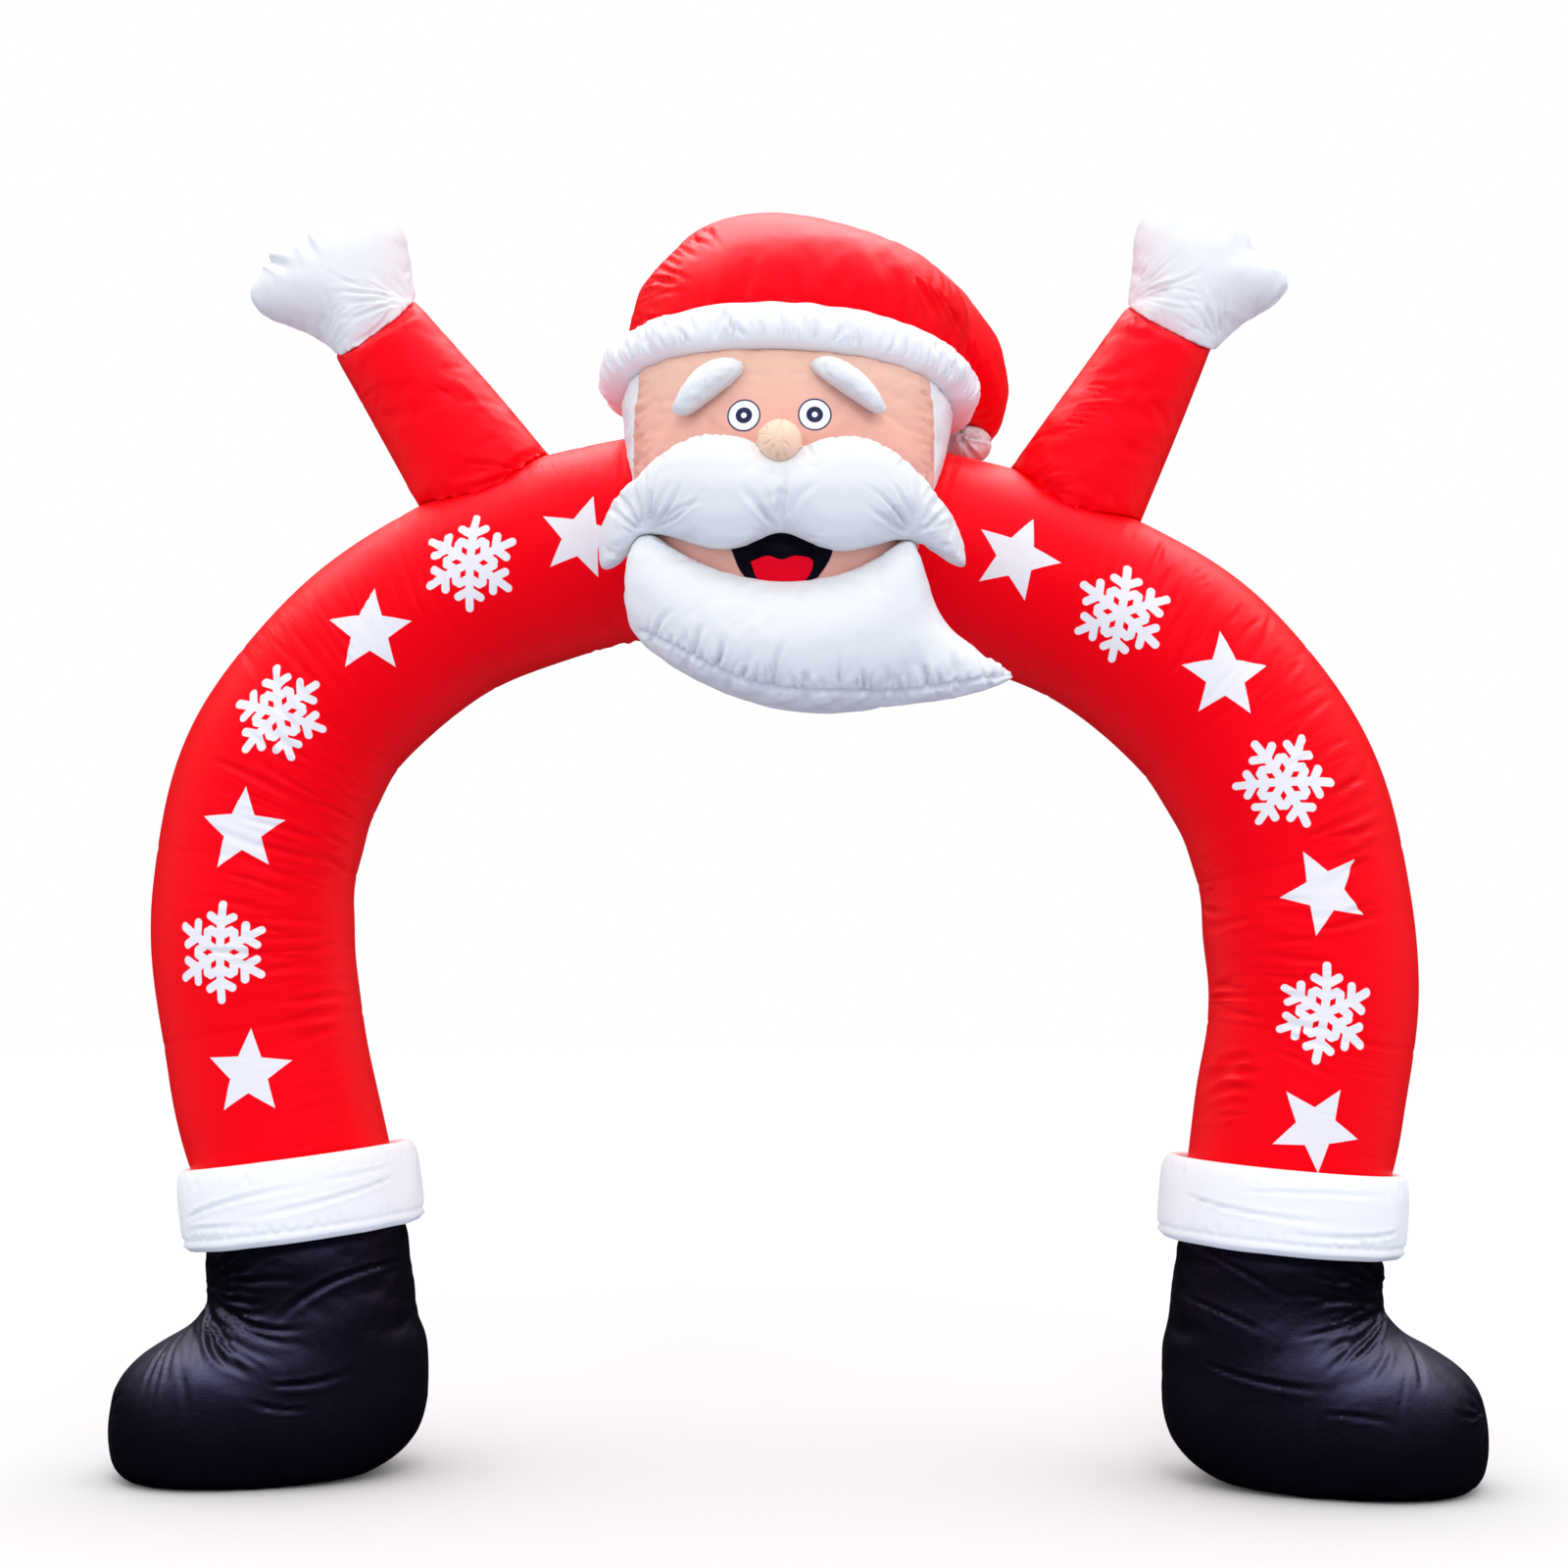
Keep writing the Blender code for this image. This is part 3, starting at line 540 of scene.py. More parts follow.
def finish_piece(piece: bpy.types.Object, cloth: Nylon, node: str,
                 material: bpy.types.Material | None = None) -> None:
    """Give a piece its material and smooth shading, and hide the node that it replaces.

    Args:
        piece: the piece.
        cloth: its finish.
        node: the node that it replaces.
        material: a material other than the plain one of the finish.
    """
    piece.data.materials.clear()
    piece.data.materials.append(material or cloth.material(piece.name))
    piece.data.shade_smooth()
    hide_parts(node)
    LOG.info("%s: %d faces", piece.name, len(piece.data.polygons))


# ---------------------------------------------------------------- folds
class Side(Enum):
    """Which side of a piece a crease is on."""

    FRONT = "front"
    BACK = "back"
    ROUND = "round"

    def share(self, normals: Array) -> Array:
        """How much of a crease shows on a surface.

        Args:
            normals: the surface's normals.

        Returns:
            The shares, from 0 on the other side to 1.
        """
        if self is Side.ROUND:
            return np.ones(len(normals))
        towards = -normals[:, 1] if self is Side.FRONT else normals[:, 1]
        return ramp(-0.05, 0.30, towards)


@dataclass(frozen=True)
class Crease:
    """A soft valley with a low ridge on both sides, along a line in the front view."""

    start: Point2
    end: Point2
    width: float
    depth: float
    bow: float = 0.0
    side: Side = Side.FRONT

    RIDGE_HEIGHT = 0.45     # of the ridges, as a share of the valley's depth
    RIDGE_PLACE = 1.7       # how far from the valley's middle they are, in widths
    RIDGE_WIDTH = 0.75

    def lift(self, points: Array, normals: Array) -> Array:
        """How far the crease moves each point along its normal.

        Args:
            points: the surface's points.
            normals: their normals.

        Returns:
            The moves, below zero in the valley.
        """
        origin = np.array(self.start)
        line = np.array(self.end) - origin
        length = np.linalg.norm(line)
        line = line / length
        place = points[:, (0, 2)] - origin
        along = place @ line / length
        across = place @ np.array((-line[1], line[0])) - self.bow * 4.0 * along * (1.0 - along)
        reach = np.abs(across) / (self.width * (0.7 + 0.6 * np.clip(along, 0.0, 1.0)))
        ridge = np.exp(-((reach - self.RIDGE_PLACE) / self.RIDGE_WIDTH) ** 2)
        profile = np.exp(-reach ** 2) - self.RIDGE_HEIGHT * ridge
        fade = ramp(-0.08, 0.12, along) * (1.0 - ramp(0.40, 1.08, along))
        return -self.depth * profile * fade * self.side.share(normals)


@dataclass(frozen=True)
class Fan:
    """Creases that spread from one point, such as the bend of an ankle."""

    centre: Point2
    angles: Point2          # first and last direction in degrees, from +X towards +Z
    radii: Point2           # where the creases start and where the longest end
    count: int
    width: float
    depth: float
    seed: int
    side: Side = Side.FRONT

    def creases(self) -> list[Crease]:
        """Work out the fan's creases.

        Returns:
            The creases, from the first direction to the last.
        """
        chance = np.random.default_rng(self.seed)
        found = []
        for angle in np.linspace(*self.angles, self.count):
            turn = math.radians(angle + chance.uniform(-0.35, 0.35)
                                * abs(self.angles[1] - self.angles[0]) / self.count)
            near = self.radii[0] * chance.uniform(0.7, 1.6)
            far = near + (self.radii[1] - self.radii[0]) * chance.uniform(0.45, 1.0)
            out = np.array((math.cos(turn), math.sin(turn)))
            found.append(Crease(tuple(np.array(self.centre) + out * near),
                                tuple(np.array(self.centre) + out * far),
                                self.width * chance.uniform(0.7, 1.3),
                                self.depth * chance.uniform(0.5, 1.2),
                                chance.uniform(-0.12, 0.12) * (far - near), self.side))
        return found


@dataclass(frozen=True)
class Gathers:
    """Small tucks that start at a sewn seam and run across it."""

    seam: tuple[Point2, ...]
    pitch: float
    reach: float            # length of the longest tucks; below zero they run to the other side
    width: float
    depth: float
    seed: int
    lean: float = 12.0      # how far the tucks lean either way, in degrees
    side: Side = Side.FRONT
    slant: float = 0.0      # how far all of them lean

    def creases(self) -> list[Crease]:
        """Work out the tucks along the seam.

        Returns:
            The tucks as creases, from the seam's start.
        """
        chance = np.random.default_rng(self.seed)
        path = smooth_path(self.seam, 40 * len(self.seam))
        steps = np.linalg.norm(np.diff(path, axis=0), axis=1)
        travelled = np.concatenate(([0.0], np.cumsum(steps)))
        found = []
        place = 0.5 * self.pitch
        while place < travelled[-1]:
            index = min(int(np.searchsorted(travelled, place)), len(path) - 2)
            heading = path[index + 1] - path[index]
            turn = math.atan2(heading[1], heading[0]) + 0.5 * math.pi
            turn += math.radians(self.slant + chance.uniform(-self.lean, self.lean))
            length = self.reach * chance.uniform(0.4, 1.0)
            start = path[index]
            end = start + np.array((math.cos(turn), math.sin(turn))) * length
            found.append(Crease(tuple(start), tuple(end), self.width * chance.uniform(0.7, 1.3),
                                self.depth * chance.uniform(0.5, 1.2),
                                chance.uniform(-0.06, 0.06) * abs(length), self.side))
            place += self.pitch * chance.uniform(0.65, 1.35)
        return found


@dataclass(frozen=True)
class Piping:
    """A thin cord or groove that runs level all the way round a piece."""

    height: float
    width: float
    depth: float            # below zero it stands out

    def lift(self, points: Array, normals: Array) -> Array:
        """How far the line moves each point along its normal."""
        return -self.depth * np.exp(-((points[:, 2] - self.height) / self.width) ** 2)


@dataclass(frozen=True)
class Seam:
    """The narrow groove of a sewn seam along a curve in the front view."""

    path: tuple[Point2, ...]
    width: float
    depth: float
    side: Side = Side.FRONT

    MARGIN = 0.03           # points farther than this from the seam's box aren't moved

    def lift(self, points: Array, normals: Array) -> Array:
        """How far the seam moves each point along its normal.

        Args:
            points: the surface's points.
            normals: their normals.

        Returns:
            The moves, below zero in the groove.
        """
        line = smooth_path(self.path, 60 * len(self.path))
        place = points[:, (0, 2)]
        low, high = line.min(axis=0) - self.MARGIN, line.max(axis=0) + self.MARGIN
        near = np.flatnonzero(np.all((place > low) & (place < high), axis=1))
        gaps = np.full(len(points), 1.0)
        for index in near:
            gaps[index] = np.sqrt(np.min(np.sum((line - place[index]) ** 2, axis=1)))
        return -self.depth * np.exp(-(gaps / self.width) ** 2) * self.side.share(normals)


Fold = Crease | Fan | Gathers | Piping | Seam


def lift_of(folds: Iterable[Fold | Ripples], points: Array, normals: Array) -> Array:
    """Add up what folds do to a surface.

    Args:
        folds: the folds, each a single line or a group of creases.
        points: the surface's points.
        normals: their normals.

    Returns:
        How far each point moves along its normal.
    """
    total = np.zeros(len(points))
    for fold in folds:
        for line in fold.creases() if hasattr(fold, "creases") else [fold]:
            total += line.lift(points, normals)
    return total


# ---------------------------------------------------------------- blown-up pieces
@dataclass
class Neighbours:
    """The solids round a piece, which say where its cloth is sewn down or rests."""

    trees: dict[str, BVHTree] = field(default_factory=dict)

    def tree(self, node: str) -> BVHTree:
        """Find the search tree of a node's solid, which is built when it is first asked for.

        Args:
            node: the node's name.

        Returns:
            The tree.
        """
        if node not in self.trees:
            mesh = FRAME["nodes"][node].data
            faces = [face.vertices[:] for face in mesh.polygons]
            self.trees[node] = BVHTree.FromPolygons([v.co[:] for v in mesh.vertices], faces)
        return self.trees[node]

    def distances(self, node: str, points: Array, reach: float) -> Array:
        """How far points are from every other node's solid.

        Args:
            node: the points' own node.
            points: the points.
            reach: distances beyond this aren't needed.

        Returns:
            The distances, at most `reach`.
        """
        low, high = points.min(axis=0) - reach, points.max(axis=0) + reach
        found = np.full(len(points), reach)
        for other in FRAME["nodes"]:
            box_low, box_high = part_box(other)
            if other == node or any(box_low[i] > high[i] or box_high[i] < low[i]
                                    for i in range(3)):
                continue
            tree = self.tree(other)
            for index, point in enumerate(points):
                hit = tree.find_nearest(Vector(point), found[index])
                if hit[3] is not None:
                    found[index] = min(found[index], hit[3])
        return found


@dataclass
class Blown:
    """A piece of sewn cloth that is blown up: its solid, remeshed, gathered and put under air."""

    node: str
    cloth: Nylon
    weave: float                    # size of the cloth's faces
    smoothing: int = 12             # passes that take off the solid's facets
    spare: float = 0.03             # share of spare cloth between the seams
    draw: float = 0.10              # share by which the seams are drawn in
    pressure: float = 4.0
    swell: float = 0.012            # how far the form may leave its solid
    sink: float = 0.15              # share of its inward moves that stays
    wrinkle: float = 1.0            # strength of the settled wrinkles
    rim: float = 0.16               # width of the seam round the outline
    level: int = 1
    fill: float = 0.95
    folds: tuple[Fold, ...] = ()
    paint: Callable[[Nodes, object], object] | None = None
    piece: bpy.types.Object | None = None
    start: Array | None = None

    HOLD_REACH = 0.006              # cloth this close to another piece is sewn to it
    SEAM_REACH = 0.030              # and its gathers reach this far
    FRAMES = 18
    FORM_PASSES = 40                # passes that part the form from the wrinkles on it
    FAINT = 0.01                    # weights below this aren't stored
    FLOOR = 0.004                   # lower than this the cloth rests on the floor
    FREE = "free"                   # name of the attribute that is 0 where the cloth is held

    def cut(self, neighbours: Neighbours) -> None:
        """Make the cloth's mesh and prepare it for the air.

        Args:
            neighbours: the solids round it.
        """
        self.piece = new_piece(f"{self.node}_cloth", merged_copy(self.node))
        remesh = self.piece.modifiers.new("even_faces", "REMESH")
        remesh.mode = "VOXEL"
        remesh.voxel_size = self.weave
        bake(self.piece)
        mesh = self.piece.data
        points = read_points(mesh)
        gaps = neighbours.distances(self.node, points, self.SEAM_REACH)
        gaps = np.where(points[:, 2] < self.FLOOR, 0.0, gaps)
        held = (gaps < self.HOLD_REACH).astype(float)
        smoothed = relaxed(points, read_edges(mesh), self.smoothing)
        self.start = points + (smoothed - points) * (1.0 - held)[:, None]
        write_points(mesh, self.start)
        rim = np.exp(-(read_normals(mesh)[:, 1] / self.rim) ** 2)
        joint = 1.0 - ramp(self.HOLD_REACH, self.SEAM_REACH, gaps)
        self._add_group("hold", held)
        self._add_group("seams", np.maximum(rim, joint))
        free = mesh.attributes.new(self.FREE, "FLOAT", "POINT")
        free.data.foreach_set("value", (1.0 - held).astype(np.float32))
        self._add_cloth()

    def _add_group(self, name: str, weights: Array) -> None:
        """Store weights as a vertex group.

        Args:
            name: the group's name.
            weights: a weight for each point.
        """
        group = self.piece.vertex_groups.new(name=name)
        for index in np.flatnonzero(weights > self.FAINT):
            group.add([int(index)], float(weights[index]), "REPLACE")

    def _add_cloth(self) -> None:
        """Add the simulation of thin cloth under air pressure, without gravity."""
        modifier = self.piece.modifiers.new("air", "CLOTH")
        settings = modifier.settings
        settings.quality = 5
        settings.mass = 0.15
        settings.tension_stiffness = 15.0
        settings.compression_stiffness = 15.0
        settings.shear_stiffness = 5.0
        settings.bending_stiffness = 0.05
        settings.use_pressure = True
        settings.uniform_pressure_force = self.pressure
        settings.shrink_min = -self.spare
        settings.shrink_max = self.draw
        settings.vertex_group_shrink = "seams"
        settings.vertex_group_mass = "hold"
        settings.effector_weights.gravity = 0.0
        modifier.point_cache.frame_start = 1
        modifier.point_cache.frame_end = self.FRAMES

    def settle(self) -> None:
        """Keep the settled wrinkles, hold the form near its solid and press the folds in."""
        bake(self.piece)
        mesh = self.piece.data
        moved = read_points(mesh) - self.start
        form = spread(moved, read_edges(mesh), self.FORM_PASSES)
        wrinkles = moved - form
        normals = read_normals(mesh)
        inward = np.minimum(0.0, np.sum(form * normals, axis=1))[:, None]
        form = form - normals * inward * (1.0 - self.sink)
        reach = np.linalg.norm(form, axis=1)[:, None]
        form = form * np.minimum(1.0, self.swell / np.maximum(reach, 1e-9))
        write_points(mesh, self.start + form + wrinkles * self.wrinkle)
        self._refine()
        material = self.cloth.material(f"{self.node}_cloth", self.paint)
        finish_piece(self.piece, self.cloth, self.node, material)

    def _refine(self) -> None:
        """Make the faces finer and press the folds into them."""
        modifier = self.piece.modifiers.new("finer_faces", "SUBSURF")
        modifier.levels = self.level
        modifier.render_levels = self.level
        bake(self.piece)
        mesh = self.piece.data
        points, normals = read_points(mesh), read_normals(mesh)
        free = np.empty(len(points), np.float32)
        mesh.attributes[self.FREE].data.foreach_get("value", free)
        lift = lift_of(self.folds, points, normals) * free
        write_points(mesh, points + normals * lift[:, None])
        mesh.attributes.remove(mesh.attributes[self.FREE])
        self.piece.vertex_groups.clear()


def blow_up(pieces: list[Blown]) -> None:
    """Let the air into all the pieces at once.

    Args:
        pieces: the sewn pieces.
    """
    neighbours = Neighbours()
    for piece in pieces:
        piece.cut(neighbours)
    for frame in range(1, Blown.FRAMES + 1):
        bpy.context.scene.frame_set(frame)
    for piece in pieces:
        piece.settle()


# ---------------------------------------------------------------- pieces with round sections
def roll(name: str, columns: int, rows: int, shape: Callable[[Array, Array], Array]
         ) -> bpy.types.Mesh:
    """Bend a flat grid into a shape.

    Args:
        name: the mesh's name.
        columns: faces across.
        rows: faces along.
        shape: gives the points for places from 0 to 1 across and along.

    Returns:
        The mesh, whose doubled points aren't joined yet.
    """
    mesh = bpy.data.meshes.new(name)
    with edited(mesh) as bm:
        bmesh.ops.create_grid(bm, x_segments=columns, y_segments=rows, size=0.5)
    flat = read_points(mesh) + 0.5
    write_points(mesh, shape(flat[:, 0], flat[:, 1]))
    return mesh


def sew_up(mesh: bpy.types.Mesh, close_ends: bool = False) -> None:
    """Join doubled points and point the faces outwards.

    Args:
        mesh: the mesh.
        close_ends: whether open ends are closed as well.
    """
    with edited(mesh) as bm:
        bmesh.ops.remove_doubles(bm, verts=bm.verts, dist=MERGE)
        if close_ends:
            open_edges = [edge for edge in bm.edges if edge.is_boundary]
            bmesh.ops.holes_fill(bm, edges=open_edges, sides=0)
        bmesh.ops.recalc_face_normals(bm, faces=bm.faces)


def unrolled(along: Array, across: Array) -> tuple[Array, Array]:
    """Lay places on unrolled cloth out flat, so that folds can be pressed into them.

    Args:
        along: places along the cloth.
        across: places across it.

    Returns:
        The places as points, and their normals.
    """
    points = np.column_stack((along, np.zeros(len(along)), across))
    normals = np.tile((0.0, -1.0, 0.0), (len(along), 1))
    return points, normals


@dataclass(frozen=True)
class Ripples:
    """A patch of small wrinkles that run across a tube, in places on its unrolled cloth."""

    along: Point2           # first and last place along the tube
    across: Point2          # from and to, with the front at 0 and the outer side above it
    pitch: float
    width: float
    depth: float
    seed: int
    slant: float = 0.0      # how far a wrinkle runs along the tube while it crosses it

    def creases(self) -> list[Crease]:
        """Work out the wrinkles one after another.

        Returns:
            The wrinkles as creases, along the tube.
        """
        chance = np.random.default_rng(self.seed)
        low, high = self.across
        found = []
        place = self.along[0]
        while place < self.along[1]:
            middle = 0.5 * (low + high) + chance.uniform(-0.18, 0.18) * (high - low)
            half = 0.5 * (high - low) * chance.uniform(0.35, 1.0)
            slant = self.slant + chance.uniform(-0.03, 0.03)
            ends = [(place - 0.5 * slant, middle - half), (place + 0.5 * slant, middle + half)]
            if chance.uniform() < 0.5:
                ends.reverse()
            found.append(Crease(ends[0], ends[1], self.width * chance.uniform(0.7, 1.4),
                                self.depth * chance.uniform(0.4, 1.2),
                                chance.uniform(-0.012, 0.012), Side.ROUND))
            place += self.pitch * chance.uniform(0.5, 1.5)
        return found


def swells(along: Array, across: Array, size: float, depth: float, seed: int) -> Array:
    """Faint unevenness of cloth under air, as a sum of slanted waves.

    Args:
        along: places along the cloth.
        across: places across it.
        size: length of the shortest waves.
        depth: height of the waves.
        seed: picks the waves.

    Returns:
        The heights.
    """
    chance = np.random.default_rng(seed)
    total = np.zeros(len(along))
    for _ in range(9):
        turn = chance.uniform(0.0, math.pi)
        length = size * chance.uniform(1.0, 3.0)
        phase = chance.uniform(0.0, 2.0 * math.pi)
        total += np.sin((along * math.cos(turn) + across * math.sin(turn))
                        * 2.0 * math.pi / length + phase)
    return depth * total / 3.0


class Motif(Enum):
    """The printed decorations on the tube."""

    STAR = 1
    SNOWFLAKE = 2


@dataclass(frozen=True)
class Print:
    """One printed decoration at a place on the unrolled tube."""

    motif: Motif
    along: float
    across: float
    turn: float             # degrees


@dataclass(frozen=True)
class PrintInk:
    """White ink for five-pointed stars and six-armed snowflakes, drawn in the piece's UV map."""

    colour: Colour = (0.83, 0.83, 0.87)
    star_radius: float = 0.112
    star_notch: float = 0.050
    flake_radius: float = 0.118
    stroke: float = 0.021
    edge: float = 0.0012        # softness of the print's outline
    # start and length of the branches on each arm of a snowflake
    branches: tuple[Point2, ...] = ((0.040, 0.030), (0.072, 0.034))

    STAR_ARMS = 5
    FLAKE_ARMS = 6
    BRANCH_TURN = math.radians(60.0)
    KIND = "motif_kind"
    PLACE = "motif_place"

    def paint(self, nodes: Nodes, colour: object) -> object:
        """Print the decorations over the cloth's colour.

        Args:
            nodes: the material's nodes.
            colour: the cloth's colour.

        Returns:
            The printed colour.
        """
        place = nodes.add("UVMap", uv_map=self.PLACE).outputs["UV"]
        kind = nodes.add("Attribute", attribute_name=self.KIND).outputs["Fac"]
        x, y, _ = nodes.split(place)
        radius, angle = nodes.length(x, y), nodes.math("ARCTAN2", y, x)
        star, flake = (
            nodes.math("MULTIPLY", self._inked(nodes, outline(nodes, radius, angle)),
                       nodes.math("COMPARE", kind, float(motif.value), 0.5))
            for motif, outline in ((Motif.STAR, self._star), (Motif.SNOWFLAKE, self._snowflake))
        )
        return nodes.mix(nodes.math("MAXIMUM", star, flake), colour, self.colour)

    def _inked(self, nodes: Nodes, distance: object) -> object:
        """Turn a distance, below zero inside the print, into an amount of ink."""
        share = nodes.math("MULTIPLY", distance, -1.0 / self.edge)
        return nodes.clamp(nodes.math("ADD", share, 0.5))

    @staticmethod
    def _folded(nodes: Nodes, radius: object, angle: object, arms: int) -> tuple[object, object]:
        """Fold the plane so that all arms lie on one half arm.

        Args:
            nodes: the material's nodes.
            radius: distance from the motif's middle.
            angle: direction in radians.
            arms: number of arms.

        Returns:
            The folded place along and beside the arm.
        """
        sector = 2.0 * math.pi / arms
        turned = nodes.math("ADD", angle, 0.5 * sector)
        wrapped = nodes.math("FLOORED_MODULO", turned, sector)
        folded = nodes.math("ABSOLUTE", nodes.math("SUBTRACT", wrapped, 0.5 * sector))
        return (nodes.math("MULTIPLY", radius, nodes.math("COSINE", folded)),
                nodes.math("MULTIPLY", radius, nodes.math("SINE", folded)))

    def _star(self, nodes: Nodes, radius: object, angle: object) -> object:
        """Work out the signed distance to a five-pointed star's outline.

        Args:
            nodes: the material's nodes.
            radius: distance from the motif's middle.
            angle: direction in radians.

        Returns:
            The distance, below zero inside.
        """
        x, y = self._folded(nodes, radius, angle, self.STAR_ARMS)
        notch = math.pi / self.STAR_ARMS
        normal = Vector((self.star_notch * math.sin(notch),
                         self.star_radius - self.star_notch * math.cos(notch))).normalized()
        offset = nodes.math("SUBTRACT", x, self.star_radius)
        return nodes.math("ADD", nodes.math("MULTIPLY", offset, normal.x),
                          nodes.math("MULTIPLY", y, normal.y))

    def _snowflake(self, nodes: Nodes, radius: object, angle: object) -> object:
        """Work out the signed distance to the strokes of a snowflake.

        Args:
            nodes: the material's nodes.
            radius: distance from the motif's middle.
            angle: direction in radians.

        Returns:
            The distance, below zero inside.
        """
        x, y = self._folded(nodes, radius, angle, self.FLAKE_ARMS)
        nearest = self._stroke(nodes, x, y, 0.0, 0.0, self.flake_radius)
        for start, length in self.branches:
            nearest = nodes.math("MINIMUM", nearest,
                                 self._stroke(nodes, x, y, start, self.BRANCH_TURN, length))
        return nodes.math("SUBTRACT", nearest, 0.5 * self.stroke)

    @staticmethod
    def _stroke(nodes: Nodes, x: object, y: object, start: float, turn: float, length: float
                ) -> object:
        """Distance to a straight stroke that starts on the arm.

        Args:
            nodes: the material's nodes.
            x: folded place along the arm.
            y: folded place beside the arm.
            start: where on the arm the stroke starts.
            turn: its angle to the arm in radians.
            length: its length.

        Returns:
            The distance.
        """
        cos, sin = math.cos(turn), math.sin(turn)
        dx = nodes.math("SUBTRACT", x, start)
        along = nodes.math("ADD", nodes.math("MULTIPLY", dx, cos), nodes.math("MULTIPLY", y, sin))
        held = nodes.math("MINIMUM", nodes.math("MAXIMUM", along, 0.0), length)
        beside_x = nodes.math("SUBTRACT", dx, nodes.math("MULTIPLY", held, cos))
        beside_y = nodes.math("SUBTRACT", y, nodes.math("MULTIPLY", held, sin))
        return nodes.length(beside_x, beside_y)


@dataclass
class ArchTube:
    """The red tube from boot to boot: an even skin with wrinkles across it and printed motifs."""

    # x, z, radius along the centre line, from cuff to cuff
    path: tuple[Point3, ...] = (
        (-1.274, 0.702, 0.252),
        (-1.366, 1.050, 0.258),
        (-1.412, 1.480, 0.262),
        (-1.310, 1.868, 0.261),
        (-1.016, 2.185, 0.257),
        (-0.600, 2.375, 0.265),
        (-0.150, 2.435, 0.266),
        (0.300, 2.388, 0.266),
        (0.704, 2.262, 0.258),
        (1.052, 2.032, 0.266),
        (1.270, 1.690, 0.267),
        (1.336, 1.260, 0.265),
        (1.296, 0.940, 0.260),
        (1.250, 0.685, 0.252),
    )
    lean: Point2 = (7.5, 5.0)       # outward lean of the two feet in degrees
    foot: float = 0.25              # length over which the tube takes up that lean
    sides: int = 88
    rings: int = 940
    seam_pitch: float = 0.44        # length of the panels that the tube is sewn from
    seam_width: float = 0.007
    seam_depth: float = 0.0016
    bulge: float = 0.004            # how far each panel swells between its seams
    unevenness: float = 0.0012
    inner_depth: float = 0.004      # large puckers on the inside of the two bends
    inner_pitch: float = 0.24
    inner_bends: tuple[Point2, ...] = ((0.95, 0.45), (4.42, 0.45))  # place and spread
    ripples: tuple[Ripples, ...] = (
        Ripples((1.28, 1.92), (-0.06, 0.22), 0.024, 0.0070, 0.0050, 11, 0.035),
        Ripples((1.02, 1.34), (-0.16, 0.12), 0.036, 0.0085, 0.0055, 12, 0.050),
        Ripples((0.62, 1.02), (-0.28, 0.04), 0.038, 0.0095, 0.0060, 13, 0.040),
        Ripples((0.40, 0.72), (-0.32, -0.10), 0.040, 0.0110, 0.0070, 14, -0.030),
        Ripples((0.85, 1.20), (-0.34, -0.16), 0.060, 0.0120, 0.0045, 15, 0.020),
        Ripples((3.60, 4.36), (0.02, 0.25), 0.022, 0.0068, 0.0050, 21, -0.035),
        Ripples((3.46, 3.90), (-0.08, 0.12), 0.030, 0.0080, 0.0040, 22, -0.040),
        Ripples((4.28, 4.56), (-0.02, 0.19), 0.027, 0.0095, 0.0075, 23, -0.045),
        Ripples((4.50, 4.95), (-0.18, 0.06), 0.050, 0.0090, 0.0045, 24, 0.030),
        Ripples((4.42, 4.58), (-0.42, -0.18), 0.048, 0.0120, 0.0085, 25),
        Ripples((4.70, 4.82), (-0.42, -0.16), 0.036, 0.0110, 0.0090, 26),
        Ripples((4.96, 5.10), (-0.40, -0.14), 0.036, 0.0110, 0.0090, 27, -0.060),
        Ripples((0.45, 1.60), (-0.76, -0.50), 0.065, 0.0130, 0.0055, 31),
        Ripples((3.80, 4.90), (-0.76, -0.50), 0.065, 0.0130, 0.0055, 32),
        Ripples((1.20, 2.00), (0.58, 0.84), 0.040, 0.0100, 0.0052, 33),
        Ripples((3.60, 4.30), (0.58, 0.84), 0.040, 0.0100, 0.0052, 34),
        Ripples((2.10, 3.30), (-0.60, -0.30), 0.070, 0.0120, 0.0060, 35),
    )
    prints: tuple[Print, ...] = (
        Print(Motif.STAR, 0.330, -0.010, 12.0),
        Print(Motif.SNOWFLAKE, 0.640, 0.020, 5.0),
        Print(Motif.STAR, 0.950, -0.015, -10.0),
        Print(Motif.SNOWFLAKE, 1.260, 0.015, 14.0),
        Print(Motif.STAR, 1.570, -0.010, 22.0),
        Print(Motif.SNOWFLAKE, 1.880, 0.010, -4.0),
        Print(Motif.STAR, 2.170, -0.020, 8.0),
        Print(Motif.STAR, 3.290, 0.000, -14.0),
        Print(Motif.SNOWFLAKE, 3.590, -0.020, 10.0),
        Print(Motif.STAR, 3.890, 0.015, 6.0),
        Print(Motif.SNOWFLAKE, 4.190, -0.015, -8.0),
        Print(Motif.STAR, 4.480, 0.010, 18.0),
        Print(Motif.SNOWFLAKE, 4.780, -0.010, 3.0),
        Print(Motif.STAR, 5.060, 0.010, -12.0),
    )
    ink: PrintInk = field(default_factory=PrintInk)
    cell: float = 0.150             # half width of the square that a motif is printed in
    back_margin: float = 0.080      # the wrinkles run out this far from the line along the back
    seed: int = 7

    SWELL_SIZE = 0.28
    SWELL_TURNS = (0.25, 0.07)      # radii of the ring on which the swells are read round the tube
    CLOTH_MAP = "cloth_place"

    def build(self) -> None:
        """Make the tube and its printed material."""
        rows = smooth_path(self.path, self.rings + 1)
        steps = np.linalg.norm(np.diff(rows[:, :2], axis=0), axis=1)
        travelled = np.concatenate(([0.0], np.cumsum(steps)))
        heading = np.gradient(rows[:, :2], axis=0)
        heading /= np.linalg.norm(heading, axis=1)[:, None]
        heading = self._lean_feet(heading, travelled)

